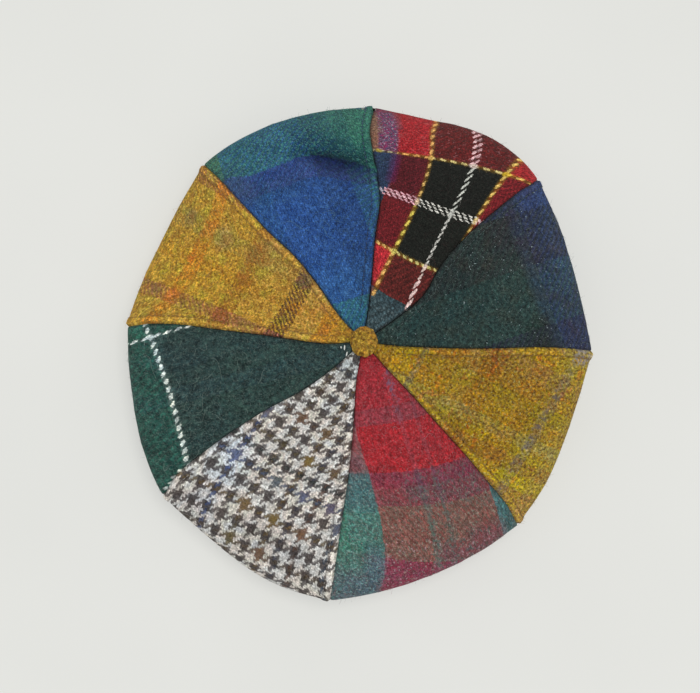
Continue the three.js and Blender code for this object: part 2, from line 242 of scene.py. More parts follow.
# ---------------------------------------------------------------- how each cloth lies on its panel
# Coefficients up to the third or fourth power, in hundredths of the panel's own flat (across, along) millimetres, that turn the flat place
# into the cloth's own warp and weft place, because a sewn and steamed panel pulls the cloth off the straight.
WARPS = {
    0: dict(
        across=(-1.86, -0.92, -1.16, -0.72, -0.36, -0.12, -0.23, -0.64, 0.36, 1.48),
        along=(0.3, -0.66, 0.02, -1.99, -0.85, -0.36, -0.49, -2.33, -1.09, -0.87),
    ),
    1: dict(
        across=(4.23, -19.66, -18.75, -43.88, 97.04, 33.91, 11.27, 45.02, -73.49, -18.35),
        along=(11.53, 4.26, -34.69, -70.94, -32.89, 29.56, 23.24, 78.84, 44.42, -5.68),
    ),
    2: dict(
        across=(0, 0, 0, 0, 0, 0, 0, 0, 0, 0),
        along=(0, 0, 0, 0, 0, 0, 0, 0, 0, 0),
    ),
    3: dict(
        across=(1.86, 16.72, -0.65, -7.43, 0.34, -1.51, 2.37, -2.14, -13.5, 1.01),
        along=(-0.44, -5.81, 3.17, -14.94, 2.03, 5.25, -10.45, -13.44, 0.65, -4.99),
    ),
    4: dict(
        across=(-0.46, 4.88, 2.27, -1.64, 2.81, 2.96, 0.71, -1.21, 2.37, -1.17),
        along=(16.2, 3.24, 1.41, -5.04, 1.45, -2.63, 0.97, -4.7, -1.86, -6.98),
    ),
    5: dict(
        across=(-6.36, 14.34, -8.16, 34.21, -1.39, 29.37, 5.79, -14.58, -10.54, -18.03, -12.85, -4.97, -7.73, 1.39, 1.67),
        along=(-2.78, -13.32, 1.87, 58.91, 11.89, 11.22, 24.52, -46.23, 8.59, -17.05, -3.27, -5.09, 0.61, -5.95, 3.76),
    ),
    6: dict(
        across=(-5.65, -1.11, 18.38, 1.28, 17.99, -27.39, -3.29, 13.17, -19.5, 12.66),
        along=(12.63, -8.44, -9.37, 14.94, -5.91, -9.68, 0.96, 8.52, -3.35, -2.26),
    ),
    7: dict(
        across=(0, 0, 0, 0, 0, 0, 0, 0, 0, 0),
        along=(6.8, -3.32, -0.83, 2.21, -3.75, -2.14, 0.55, 1.34, -2.12, -1.94),
    ),
}
WARP_END = 152.0
# and where a small place is pulled further: panel, flat place (across, along), reach across and along, pull across
PULLS = [(1, 16.0, 152.0, 13.0, 11.0, 7.2)]
# and where cloth is drawn along by a fold: the stretch along over which it comes in, and (across, drawn along by)
SLIDES = {2: dict(lo=62.0, hi=94.0, table=[(-46, 26), (-38.6, 20), (-31.6, 14.6), (-24, 9.2), (-16, 4.4), (-9, 1.0), (0, -1.0), (10, 0.3), (30, 0.3), (42, -3.8)])}


def cloth_place(p, u, v):
    if p not in WARPS:
        return u, v
    past = np.maximum(0, v - WARP_END)
    a, b = np.clip(u, -60, 60) / 100, np.minimum(v, WARP_END) / 100
    terms = (
        np.ones_like(a), a, b, a * a, a * b, b * b, a**3, a * a * b, a * b * b, b**3,
        a**4, a**3 * b, a * a * b * b, a * b**3, b**4,
    )
    du = sum(c * t for c, t in zip(WARPS[p]["across"], terms))
    dv = sum(c * t for c, t in zip(WARPS[p]["along"], terms))
    for at, u0, v0, wide, long, pull in PULLS:
        if at == p:
            du = du + pull * np.exp(-(((u - u0) / wide) ** 2) - ((np.minimum(v, WARP_END) - v0) / long) ** 2)
    if p in SLIDES:
        row = SLIDES[p]
        at, by = np.array(row["table"], float).T
        share = np.clip((v - row["lo"]) / (row["hi"] - row["lo"]), 0, 1)
        dv = dv + np.interp(u, at, by) * share * share * (3 - 2 * share)
    return u + du, np.minimum(v, WARP_END) + dv + past


def panel_axis(p):
    a, b, c = corner_of(p), corner_of(p + 1), np.array(CROWN_CENTRE)
    d = (a - c) / math.hypot(*(a - c)) + (b - c) / math.hypot(*(b - c))
    d /= math.hypot(*d)
    return c, d, np.array([-d[1], d[0]])


def even_rows(points, parameters, cells):
    """Parameter values that cut the line through points into cells of equal length."""
    run = np.concatenate([[0], np.cumsum(np.linalg.norm(np.diff(points, axis=0), axis=1))])
    return np.interp(np.linspace(0, run[-1], cells + 1), run, parameters)


def panel_shape(p):
    """Every surface value of a panel's outer face, as arrays of rows (centre to band) by columns (first to second seam)."""
    mid_rim = rim_at(p, np.array(0.5))
    hole = CENTRE_HOLE / math.hypot(mid_rim[0] - CROWN_CENTRE[0], mid_rim[1] - CROWN_CENTRE[1])
    q = np.linspace(0, 1, 4001)
    rho = np.maximum(hole, np.sin(np.pi / 2 * q) ** (2 / TOP_FULLNESS))
    rho = even_rows(top_point(p, np.full_like(rho, 0.5), rho), rho, TOP_CELLS)
    rho[0], rho[-1] = hole, 1.0
    e = np.linspace(0, 1, 4001) ** 3
    e = even_rows(under_point(p, np.full_like(e, 0.5), e), e, UNDER_CELLS)
    lip = np.linspace(0, 1, LIP_CELLS + 1)

    def rows_of(S):
        top = top_point(p, S[: TOP_CELLS + 1], rho[:, None])
        under = under_point(p, S[TOP_CELLS + 1 : TOP_CELLS + 1 + UNDER_CELLS], e[1:, None])
        last = lip_point(p, S[TOP_CELLS + 1 + UNDER_CELLS :], lip[1:, None])
        return np.concatenate([top, under, last], 0)

    n_rows = TOP_CELLS + UNDER_CELLS + LIP_CELLS + 1
    wide = rows_of(np.linspace(0, 1, 33)[None, :] * np.ones((n_rows, 1)))
    half = np.linalg.norm(np.diff(wide, axis=1), axis=2).sum(1) / 2
    lead = np.clip(0.35 * (ACROSS / 2) / half, 0.2, 1)[:, None]
    t = np.linspace(0, 1, ACROSS // 2 + 1)[None, :]
    S_half = 0.5 * (lead * t + (1 - lead) * t * t)
    S = np.concatenate([S_half, 1 - S_half[:, -2::-1]], 1)
    P = rows_of(S)
    drop, shade = crease_at(P[..., 0], P[..., 1])
    upper = np.zeros((n_rows, 1))
    upper[: TOP_CELLS + 1, 0] = 1 - rho**30
    P[..., 2] -= drop * upper
    N = grid_normals(P, np.array([0, 0, 1.0]))
    run = np.concatenate([np.zeros((n_rows, 1)), np.cumsum(np.linalg.norm(np.diff(P, axis=1), axis=2), axis=1)], 1)
    first, second = run, run[:, -1:] - run

    # the flat place of every point: across the panel's middle line, and along it
    c, d, side = panel_axis(p)
    mid = P[:, ACROSS // 2] + np.stack([0 * drop, 0 * drop, drop * upper], -1)[:, ACROSS // 2]
    along = np.concatenate([[0], np.cumsum(np.linalg.norm(np.diff(mid, axis=0), axis=1))]) + CENTRE_HOLE
    rx, ry, _, _ = rim_at(p, S)
    mx, my, _, _ = rim_at(p, np.array(0.5))
    lead_out = ((rx - c[0]) * d[0] + (ry - c[1]) * d[1]) / ((mx - c[0]) * d[0] + (my - c[1]) * d[1])
    rim_along = along[TOP_CELLS]
    v = np.minimum(along, rim_along)[:, None] * lead_out + np.maximum(0, along - rim_along)[:, None]
    u = (P[..., 0] - c[0]) * side[0] + (P[..., 1] - c[1]) * side[1]
    half = half[:, None] * np.ones_like(S)
    return dict(P=P, N=N, S=S, first=first, second=second, half=half, u=u, v=v, along=along, fold=shade * upper)


def panel_relief(p, g):
    """How far the outer face stands off the plain surface: seams, stitch lines, puckers and soft lumps."""
    first, second, half, v, u = g["first"], g["second"], g["half"], g["v"], g["u"]
    room = ease(3.0, 14.0, half)
    h = -0.9 * np.exp(-((first / 0.65) ** 2)) - 0.9 * np.exp(-((second / 0.65) ** 2))
    # plain cloth rolls over into the seam; cloth with the allowances under it stands higher, up to its stitches
    for side, d in enumerate((first, second)):
        seed = 11 * p + 5 * side
        if PANELS[p]["stitched"][side]:
            h += 0.85 * room * ease(0.2, 1.6, d) * (1 - ease(TOPSTITCH_AT - 0.5, TOPSTITCH_AT + 1.5, d))
            line = np.exp(-(((d - TOPSTITCH_AT) / 0.6) ** 2))
            h -= room * line * (0.55 + 0.3 * np.cos(2 * np.pi * v / STITCH_PITCH))
            pull = np.exp(-(((d - TOPSTITCH_AT) / 3.2) ** 2))
            h += 0.16 * room * pull * lumps(v / 4.2, d / 9, seed)
        else:
            h -= 0.35 * room * np.exp(-d / 2.6)
            h += 0.12 * room * np.exp(-d / 5.0) * lumps(v / 6.5, d / 12, seed)
        h += 0.28 * room * np.exp(-d / 7.0) * lumps(v / 11.0, d / 16, seed + 3)
    h += 0.45 * room * lumps(u / 23, v / 27, 70 + p) + 0.16 * lumps(u / 8.5, v / 9.5, 90 + p)
    h += 0.05 * lumps(u / 2.6, v / 2.6, 110 + p)
    # gathers where the crown is drawn in to the band
    rim_row = g["P"].shape[0] - UNDER_CELLS - LIP_CELLS - 1
    down = np.zeros((g["P"].shape[0], 1))
    down[rim_row:, 0] = np.linspace(0, 1, UNDER_CELLS + LIP_CELLS + 1)
    fullness = ease(0.15, 0.85, down) * (1 - ease(0.93, 1.0, down))
    wave = np.sin(2 * np.pi * g["S"] * 6.0 + 1.7 * lumps(g["S"] * 5 + 3, down * 1.3, 130 + p))
    h += 0.75 * fullness * wave * np.sin(np.pi * g["S"]) ** 0.5
    h *= 1 - 0.9 * ease(0.94, 1.0, down)
    return h


def weld_grids(outer, inner):
    """Triangles of a closed shell from a fine outer grid and a coarse inner one; the fine one comes first."""
    R, C = outer.shape[:2]
    r, c = inner.shape[:2]
    base = R * C
    i, j = np.meshgrid(np.arange(R - 1), np.arange(C - 1), indexing="ij")
    a, b, d, e = i * C + j, i * C + j + 1, (i + 1) * C + j, (i + 1) * C + j + 1
    faces = [np.stack([a, d, e], -1).reshape(-1, 3), np.stack([a, e, b], -1).reshape(-1, 3)]
    i, j = np.meshgrid(np.arange(r - 1), np.arange(c - 1), indexing="ij")
    a, b, d, e = i * c + j, i * c + j + 1, (i + 1) * c + j, (i + 1) * c + j + 1
    faces += [base + np.stack([a, e, d], -1).reshape(-1, 3), base + np.stack([a, b, e], -1).reshape(-1, 3)]

    def ring(R_, C_):
        top = [(0, k) for k in range(C_ - 1)]
        right = [(k, C_ - 1) for k in range(R_ - 1)]
        bottom = [(R_ - 1, k) for k in range(C_ - 1, 0, -1)]
        left = [(k, 0) for k in range(R_ - 1, 0, -1)]
        return [x * C_ + y for x, y in top + right + bottom + left]

    fine, coarse = ring(R, C), ring(r, c)
    step, edge = len(fine) // len(coarse), []
    for k in range(len(coarse)):
        here, after = base + coarse[k], base + coarse[(k + 1) % len(coarse)]
        for s in range(step):
            edge.append((fine[k * step + s], fine[(k * step + s + 1) % len(fine)], here))
        edge.append((fine[((k + 1) * step) % len(fine)], after, here))
    faces.append(np.array(edge))
    return np.concatenate(faces)


def volume_of(points, faces):
    a, b, c = points[faces[:, 0]], points[faces[:, 1]], points[faces[:, 2]]
    return float(np.sum(a * np.cross(b, c)) / 6)


def make_mesh(name, points_mm, faces, uv=None, values=None, sharp=None):
    """A mesh object from arrays. uv and values are given for each point."""
    if volume_of(points_mm, faces) < 0:
        faces = faces[:, ::-1]
    faces = np.ascontiguousarray(faces)
    mesh = bpy.data.meshes.new(name)
    mesh.vertices.add(len(points_mm))
    mesh.vertices.foreach_set("co", (points_mm * MM).astype(np.float32).ravel())
    mesh.loops.add(faces.size)
    mesh.loops.foreach_set("vertex_index", faces.astype(np.int32).ravel())
    mesh.polygons.add(len(faces))
    mesh.polygons.foreach_set("loop_start", np.arange(0, faces.size, 3, dtype=np.int32))
    mesh.polygons.foreach_set("use_smooth", np.ones(len(faces), bool))
    mesh.update(calc_edges=True)
    if uv is not None:
        layer = mesh.uv_layers.new(name="cloth")
        layer.data.foreach_set("uv", uv[faces.ravel()].astype(np.float32).ravel())
    for key, data in (values or {}).items():
        attribute = mesh.attributes.new(name=key, type="FLOAT", domain="POINT")
        attribute.data.foreach_set("value", np.asarray(data, np.float32).ravel())
    if sharp:
        mesh.set_sharp_from_angle(angle=sharp * RAD)
    mesh.validate()
    piece = bpy.data.objects.new(name, mesh)
    bpy.context.scene.collection.objects.link(piece)
    return piece


# ---------------------------------------------------------------- materials
def colour(rgb):
    """A display colour, 0 to 255, as linear light."""
    out = []
    for x in rgb:
        x = x / 255
        out.append(x / 12.92 if x <= 0.04045 else ((x + 0.055) / 1.055) ** 2.4)
    return (*out, 1.0)


def multiplier(ratio):
    """Half of the linear factor that changes a displayed value by this ratio."""
    return (*[min(1.0, r**2.2 / 2) for r in ratio], 1.0)


class Graph:
    def __init__(self, name):
        self.material = bpy.data.materials.new(name)
        self.material.use_nodes = True
        self.tree = self.material.node_tree
        self.tree.nodes.clear()
        self.output = self.node("ShaderNodeOutputMaterial")
        self.shader = self.node("ShaderNodeBsdfPrincipled")
        self.link(self.shader.outputs["BSDF"], self.output.inputs["Surface"])

    def node(self, kind, **settings):
        n = self.tree.nodes.new(kind)
        for k, v in settings.items():
            setattr(n, k, v)
        return n

    def link(self, a, b):
        self.tree.links.new(a, b)

    def put(self, value, socket):
        if isinstance(value, bpy.types.NodeSocket):
            self.link(value, socket)
        else:
            socket.default_value = value

    def math(self, op, *values, clamp=False):
        n = self.node("ShaderNodeMath", operation=op, use_clamp=clamp)
        for value, socket in zip(values, n.inputs):
            self.put(value, socket)
        return n.outputs[0]

    def add(self, a, b):
        return self.math("ADD", a, b)

    def times(self, a, b):
        return self.math("MULTIPLY", a, b)

    def mix(self, factor, a, b, blend="MIX"):
        n = self.node("ShaderNodeMix", data_type="RGBA", blend_type=blend, clamp_factor=True)
        self.put(factor, n.inputs[0])
        self.put(a, n.inputs[6])
        self.put(b, n.inputs[7])
        return n.outputs[2]

    def blend(self, factor, a, b):
        n = self.node("ShaderNodeMix", data_type="FLOAT", clamp_factor=True)
        self.put(factor, n.inputs[0])
        self.put(a, n.inputs[2])
        self.put(b, n.inputs[3])
        return n.outputs[0]

    def place(self, x, y, z=0.0):
        n = self.node("ShaderNodeCombineXYZ")
        for value, socket in zip((x, y, z), n.inputs):
            self.put(value, socket)
        return n.outputs[0]

    def noise(self, vector, scale, detail=2.0, rough=0.5, colour_out=False):
        n = self.node("ShaderNodeTexNoise", noise_dimensions="3D")
        self.put(vector, n.inputs["Vector"])
        n.inputs["Scale"].default_value = scale
        n.inputs["Detail"].default_value = detail
        n.inputs["Roughness"].default_value = rough
        return n.outputs["Color"] if colour_out else n.outputs["Fac"]

    def random(self, vector):
        n = self.node("ShaderNodeTexWhiteNoise", noise_dimensions="3D")
        self.put(vector, n.inputs["Vector"])
        return n.outputs["Value"]

    def span(self, value, lo, hi, out_lo=0.0, out_hi=1.0, smooth=False):
        n = self.node("ShaderNodeMapRange", interpolation_type="SMOOTHSTEP" if smooth else "LINEAR", clamp=True)
        self.put(value, n.inputs[0])
        for k, x in zip((1, 2, 3, 4), (lo, hi, out_lo, out_hi)):
            n.inputs[k].default_value = x
        return n.outputs[0]

    def ramp_node(self, value, stops, interpolation):
        """stops: (place from 0 to 1, linear colour with alpha)."""
        n = self.node("ShaderNodeValToRGB")
        self.put(value, n.inputs[0])
        n.color_ramp.interpolation = interpolation
        elements = n.color_ramp.elements
        while len(elements) > 1:
            elements.remove(elements[-1])
        elements[0].position, elements[0].color = max(0.0, stops[0][0]), stops[0][1]
        for place, value in stops[1:]:
            e = elements.new(min(1.0, max(0.0, place)))
            e.color = value
        return n

    def ramp(self, value, stops, interpolation="CONSTANT"):
        """stops: (place from 0 to 1, display colour)."""
        return self.ramp_node(value, [(at, colour(rgb)) for at, rgb in stops], interpolation).outputs[0]

    def tinted(self, col, value, ratios, lo=0.33, hi=0.67):
        """A colour changed by a run of display ratios as value goes from lo to hi."""
        steps = [(k / (len(ratios) - 1), multiplier(r)) for k, r in enumerate(ratios)]
        tint = self.ramp_node(self.span(value, lo, hi), steps, "LINEAR").outputs[0]
        return self.mix(1.0, self.scaled(col, 2.0), tint, blend="MULTIPLY")

    def varied(self, col, value, amount):
        """A colour made lighter or darker by noise around 0.5."""
        return self.scaled(col, self.math("POWER", math.exp(amount), self.add(value, -0.5)))

    def fibres(self, vector, scale, width, detail=1.5):
        """Thin curly lines."""
        n = self.noise(vector, scale, detail, 0.55)
        off = self.math("ABSOLUTE", self.add(n, -0.5))
        return self.span(off, 0.0, width, 1.0, 0.0, smooth=True)

    def scaled(self, col, value):
        """A colour made lighter or darker by a number near 1."""
        return self.mix(1.0, col, self.grey(value), blend="MULTIPLY")

    def grey(self, value):
        n = self.node("ShaderNodeCombineColor")
        for s in n.inputs:
            self.put(value, s)
        return n.outputs[0]


ACROSS_SPAN, ALONG_SPAN = (-80.0, 80.0), (-20.0, 240.0)
LINE = 0.0  # a third value on a stripe is how far the nap melts it into the yarns it crosses; 1 when absent


def stripes(g, value, span, rows):
    lo, hi = span
    steps = [((row[0] - lo) / (hi - lo), (*colour(row[1])[:3], row[2] if len(row) > 2 else 1.0)) for row in rows]
    n = g.ramp_node(g.span(value, lo, hi), steps, "CONSTANT")
    return n.outputs[0], n.outputs[1]


def tooth(g, value, span, repeat, offset, light, dark, tints):
    """Four light and four dark yarns by turns; tints gives the colour of the middle two of some stripes' dark yarns."""
    turn = g.math("ABSOLUTE", g.add(g.math("FRACT", g.add(g.times(g.add(value, -offset), 1 / repeat), 100.5)), -0.5))
    rows = [(span[0], dark)]
    for k in sorted(tints):
        rows += [(offset + repeat * (k - 0.5), tints[k]), (offset + repeat * (k + 0.5), dark)]
    rows = [row for n, row in enumerate(rows) if n + 1 == len(rows) or rows[n + 1][0] - row[0] > 0.01]
    middle = stripes(g, value, span, rows)[0]
    shown = g.mix(g.math("LESS_THAN", turn, 0.125), colour(dark), middle)
    return g.mix(g.math("LESS_THAN", turn, 0.25), colour(light), shown)


def tweed(name, spec):
    """A 2/2 twill of coloured warp and weft yarns, with woollen nap. spec gives the yarn pitch in millimetres, the
    way the twill runs, and the yarn colours as tables of (from this millimetre on, display colour)."""
    g = Graph(name)
    uv = g.node("ShaderNodeUVMap", uv_map="cloth")
    cut = g.node("ShaderNodeSeparateXYZ")
    g.link(uv.outputs[0], cut.inputs[0])
    U, V = cut.outputs[0], cut.outputs[1]
    seed = spec["seed"]
    flat = g.place(U, V, seed * 7.3)
    su, sv = spec.get("brushed", (1.0, 1.0))  # the grain is drawn out along the way the cloth is brushed
    Ug, Vg = g.times(U, su), g.times(V, sv)
    pitch, turn = spec["pitch"], spec["turn"]

    # woollen yarn wanders a little
    wander = g.noise(flat, 0.42, 3.0, 0.65, colour_out=True)
    w = g.node("ShaderNodeSeparateColor")
    g.link(wander, w.inputs[0])
    Uw = g.add(U, g.times(g.add(w.outputs[0], -0.5), spec.get("wander", 2.5)))
    Vw = g.add(V, g.times(g.add(w.outputs[1], -0.5), spec.get("wander", 2.5)))

    a, b = g.add(g.times(Uw, 1 / pitch), 4000.0), g.add(g.times(Vw, 1 / pitch), 4000.0)
    i, j = g.math("FLOOR", a), g.math("FLOOR", b)
    fu, fv = g.math("FRACT", a), g.math("FRACT", b)
    warp_at = g.times(g.add(i, -3999.5), pitch)
    weft_at = g.times(g.add(j, -3999.5), pitch)

    k = g.math("FLOORED_MODULO", g.add(j, g.times(i, float(turn))), 4.0)
    over = g.math("LESS_THAN", k, 1.5)
    t_warp = g.times(g.add(k, fv), 0.5)
    t_weft = g.times(g.add(g.add(k, -2.0), fu), 0.5) if turn > 0 else g.times(g.add(g.math("SUBTRACT", 3.0, k), fu), 0.5)

    def float_height(across, t):
        round_ = g.math("SINE", g.times(across, math.pi))
        arch = g.math("SINE", g.times(g.math("MINIMUM", g.math("MAXIMUM", t, 0.0), 1.0), math.pi))
        return g.times(g.math("POWER", g.math("MAXIMUM", round_, 0.0), 0.6), g.add(0.4, g.times(arch, 0.6)))

    height = g.blend(over, float_height(fv, t_weft), float_height(fu, t_warp))

    if "tooth" in spec:
        repeat, light, dark, warp_tints, weft_tints = spec["tooth"]
        warp, warp_plain = tooth(g, warp_at, ACROSS_SPAN, repeat, spec["offsets"][0], light, dark, warp_tints), 1.0
        weft, weft_plain = tooth(g, weft_at, ALONG_SPAN, repeat, spec["offsets"][1], light, dark, weft_tints), 1.0
    else:
        warp, warp_plain = stripes(g, warp_at, ACROSS_SPAN, spec["warp"])
        weft, weft_plain = stripes(g, weft_at, ALONG_SPAN, spec["weft"])
    for centre, rgb, near, far, narrow, broad in spec.get("flare", ()):  # a stripe that is wider on one stretch than on another
        width = g.span(V, near, far, narrow, broad, smooth=True)
        inside = g.math("LESS_THAN", g.math("ABSOLUTE", g.add(warp_at, -centre)), width)
        warp = g.mix(inside, warp, colour(rgb))
        warp_plain = g.times(warp_plain, g.add(1.0, g.times(inside, -1.0)))

    # heather: every yarn is spun from lighter, darker and coloured wool, so it changes along its length
    along_warp = g.noise(g.place(g.times(i, 3.7), g.times(V, 0.62), seed + 0.5), 1.0, 1.5, 0.6)
    along_weft = g.noise(g.place(g.times(U, 0.62), g.times(j, 3.7), seed + 30.5), 1.0, 1.5, 0.6)
    yarn = spec.get("yarn", 1.3)
    warp = g.varied(warp, along_warp, yarn)
    weft = g.varied(weft, along_weft, yarn)

    # the nap melts the two yarns' colours together, less so on a hard bright line
    shown = g.mix(over, weft, warp)
    both = g.mix(0.5, weft, warp)
    nap_amount = g.times(g.math("MINIMUM", warp_plain, weft_plain), spec.get("nap", 0.4))
    shown = g.mix(g.math("MAXIMUM", nap_amount, 0.06), shown, both)
    # painted shade and painted highlight: the colour is darkened in the dips between the floats and lightened on their
    # crowns
    depth = spec.get("depth", 0.3)
    shade = g.span(height, 0.0, 0.95, 1 - depth, 1 + depth * 0.35)
    shown = g.scaled(shown, shade)

    # where the dyed wool takes on another colour: over a stretch of the cloth, or in one spot of it
    def edge(value, lo, hi, soft):
        return g.times(g.span(value, lo - soft, lo + soft), g.span(value, hi - soft, hi + soft, 1.0, 0.0))

    for rgb, strength, (u0, u1, v0, v1), *soft in spec.get("washes", ()):
        soft = soft[0] if soft else 1.2
        mask = g.times(g.times(edge(Uw, u0, u1, soft), edge(Vw, v0, v1, soft)), strength)
        shown = g.mix(mask, shown, g.scaled(colour(rgb), shade))

    for ratios, (u0, u1, v0, v1), soft in spec.get("shades", ()):  # and where it is made darker or lighter: painted shade beside the folds, as in the blue panel, and changes of the dyed colour elsewhere
        mask = g.times(edge(Uw, u0, u1, soft), edge(Vw, v0, v1, soft))
        shown = g.mix(mask, shown, g.mix(1.0, g.scaled(shown, 2.0), multiplier(ratios), blend="MULTIPLY"))

    def spot_at(strength, u0, v0, ru, rv):
        off = g.node("ShaderNodeVectorMath", operation="LENGTH")
        g.link(g.place(g.times(g.add(Uw, -u0), 1 / ru), g.times(g.add(Vw, -v0), 1 / rv)), off.inputs[0])
        return g.span(off.outputs["Value"], 0.55, 1.25, strength, 0.0, smooth=True)

    for rgb, strength, *at in spec.get("spots", ()):
        mask = spot_at(strength, *at)
        if spec.get("spots_on_dark"):
            tone = g.node("ShaderNodeSeparateColor")
            g.link(shown, tone.inputs[0])
            mask = g.times(mask, g.span(tone.outputs[0], 0.14, 0.45, 1.0, 0.14))
        shown = g.mix(mask, shown, g.scaled(colour(rgb), shade))

    # overcheck lines: yarns thicker than the rest, which show as one slanted bead after another
    raised = None
    if "beads" in spec:
        ragged = g.node("ShaderNodeSeparateColor")
        g.link(g.noise(g.place(U, V, seed * 4.9), 0.9, 2.0, 0.6, colour_out=True), ragged.inputs[0])
        Ub = g.add(U, g.times(g.add(ragged.outputs[0], -0.5), spec.get("ragged", 1.7)))
        Vb = g.add(V, g.times(g.add(ragged.outputs[1], -0.5), spec.get("ragged", 1.7)))
        for way, rgb, centre, half, period, slant, share, melt, lo, hi, phase, halo in spec["beads"]:
            across, run = (Ub, Vb) if way == "warp" else (Vb, Ub)
            off = g.add(across, -centre)
            step = g.math("FRACT", g.add(g.times(g.add(run, g.times(off, slant)), 1 / period), 100.0 + phase))
            end = g.times(g.math("ABSOLUTE", g.add(step, -0.5)), 2 / share)
            out = g.times(g.math("ABSOLUTE", off), 1 / half)
            body = g.add(g.math("POWER", end, 2.6), g.math("POWER", out, 2.6))
            here = g.math("LESS_THAN", g.math("ABSOLUTE", g.add(run, -(lo + hi) / 2)), (hi - lo) / 2)
            bead = g.times(g.span(body, 0.7, 1.35, 1.0, 0.0, smooth=True), here)
            if halo:  # stray fibre of the yarn beside it
                ring = g.times(g.span(out, 0.8, 2.0, halo, 0.0), here)
                shown = g.mix(ring, shown, g.scaled(colour(spec["halo"]), shade))
            # the bead's colour is darkened in the weave's dips and lightened on its crowns: painted shade and painted
            # highlight
            shown = g.mix(g.times(bead, 1 - melt), shown, g.scaled(colour(rgb), g.span(height, 0.0, 0.95, 0.86, 1.06)))
            raised = bead if raised is None else g.math("MAXIMUM", raised, bead)
        for rgb, strength, *at in spec.get("knots", ()):  # where two of the lines cross
            # the knot's colour also follows the weave's height: painted shade and painted highlight
            shown = g.mix(spot_at(strength, *at), shown, g.scaled(colour(rgb), g.span(height, 0.0, 0.95, 0.8, 1.08)))

    # broad soft patches of one wool or another, then millimetre lumps of it
    if "patches" in spec:
        shown = g.tinted(shown, g.noise(g.place(U, V, seed * 1.9 + 50.0), spec.get("patch_scale", 0.11), 2.5, 0.6), spec["patches"])
    lumpy = g.noise(g.place(Ug, Vg, seed * 2.3 + 90.0), spec.get("lump_scale", 0.8), 2.0, 0.65)
    if "heather" in spec:
        shown = g.tinted(shown, lumpy, spec["heather"])
    fine = g.noise(g.place(Ug, Vg, seed * 7.3), spec.get("grain_scale", 1.05), 2.0, 0.7)
    shown = g.varied(shown, fine, spec.get("grain", 2.6))

    # curly loose fibre lying on the face, lighter than the cloth, and darker curls of painted shadow
    wool = g.place(g.add(U, g.times(w.outputs[2], 2.0)), V, seed * 5.1)
    light = g.times(g.fibres(wool, 0.62, 0.020), spec.get("curl", 0.3))
    shown = g.mix(light, shown, g.mix(0.55, shown, colour(spec.get("hair", (170, 168, 160)))))
    dark = g.times(g.fibres(g.place(V, U, seed * 8.7), 0.75, 0.020), spec.get("shadow_curl", 0.35))
    shown = g.mix(dark, shown, g.scaled(shown, 0.42))

    # flecks of other wool
    for n, (rgb, scale, level, strength, *window) in enumerate(spec.get("flecks", ())):
        spot = g.noise(g.place(U, V, seed * 3.7 + 11.0 * (n + 1)), scale, 2.0, 0.6)
        mask = g.times(g.span(spot, level, level + 0.05, smooth=True), strength)
        for u0, u1, v0, v1 in window:  # only in this part of the cloth
            mask = g.times(mask, g.times(g.span(Uw, u0 - 1.5, u0 + 1.5), g.span(Uw, u1 - 1.5, u1 + 1.5, 1.0, 0.0)))
            mask = g.times(mask, g.times(g.span(Vw, v0 - 1.5, v0 + 1.5), g.span(Vw, v1 - 1.5, v1 + 1.5, 1.0, 0.0)))
        shown = g.mix(mask, shown, colour(rgb))

    if "lint" in spec:  # sparse bright specks
        speck = g.noise(g.place(U, V, seed * 6.1 + 70.0), 0.9, 1.0, 0.5)
        shown = g.mix(g.times(g.span(speck, 0.745, 0.77, smooth=True), 0.8), shown, colour(spec["lint"]))

    # painted shade in the seams, stitch grooves and folds, under the button's edge and on the hidden allowances, and a
    # painted highlight on the ridges over the allowances (all from the seam attribute); pale tips on the raised fibres
    seam = g.node("ShaderNodeAttribute", attribute_name="seam")
    shown = g.scaled(shown, g.times(g.span(seam.outputs["Fac"], 0, 1, 1.0, 0.4), g.span(seam.outputs["Fac"], -1, 0, 1.6, 1.0)))
    nap = g.node("ShaderNodeAttribute", attribute_name="nap")
    shown = g.mix(g.times(nap.outputs["Fac"], 0.3), shown, colour(spec.get("hair", (150, 146, 140))))

    g.link(shown, g.shader.inputs["Base Color"])
    fuzz = g.noise(flat, 2.4, 3.0, 0.7)
    g.link(g.span(fuzz, 0.3, 0.7, 0.82, 0.98), g.shader.inputs["Roughness"])
    g.shader.inputs["Specular IOR Level"].default_value = 0.18
    g.shader.inputs["Sheen Weight"].default_value = spec.get("sheen", 0.06)
    g.shader.inputs["Sheen Roughness"].default_value = 0.55
    g.shader.inputs["Sheen Tint"].default_value = (*colour(spec.get("sheen_tint", (225, 222, 215)))[:3], 1.0)
    relief = g.add(g.times(height, 0.7), g.add(g.times(fine, 1.3), g.times(fuzz, 0.6)))
    if raised is not None:
        relief = g.add(relief, g.times(raised, 0.6))
    bump = g.node("ShaderNodeBump")
    bump.inputs["Strength"].default_value = spec.get("bump", 0.9)
    bump.inputs["Distance"].default_value = 0.0005
    g.link(relief, bump.inputs["Height"])
    g.link(bump.outputs[0], g.shader.inputs["Normal"])
    return g.material


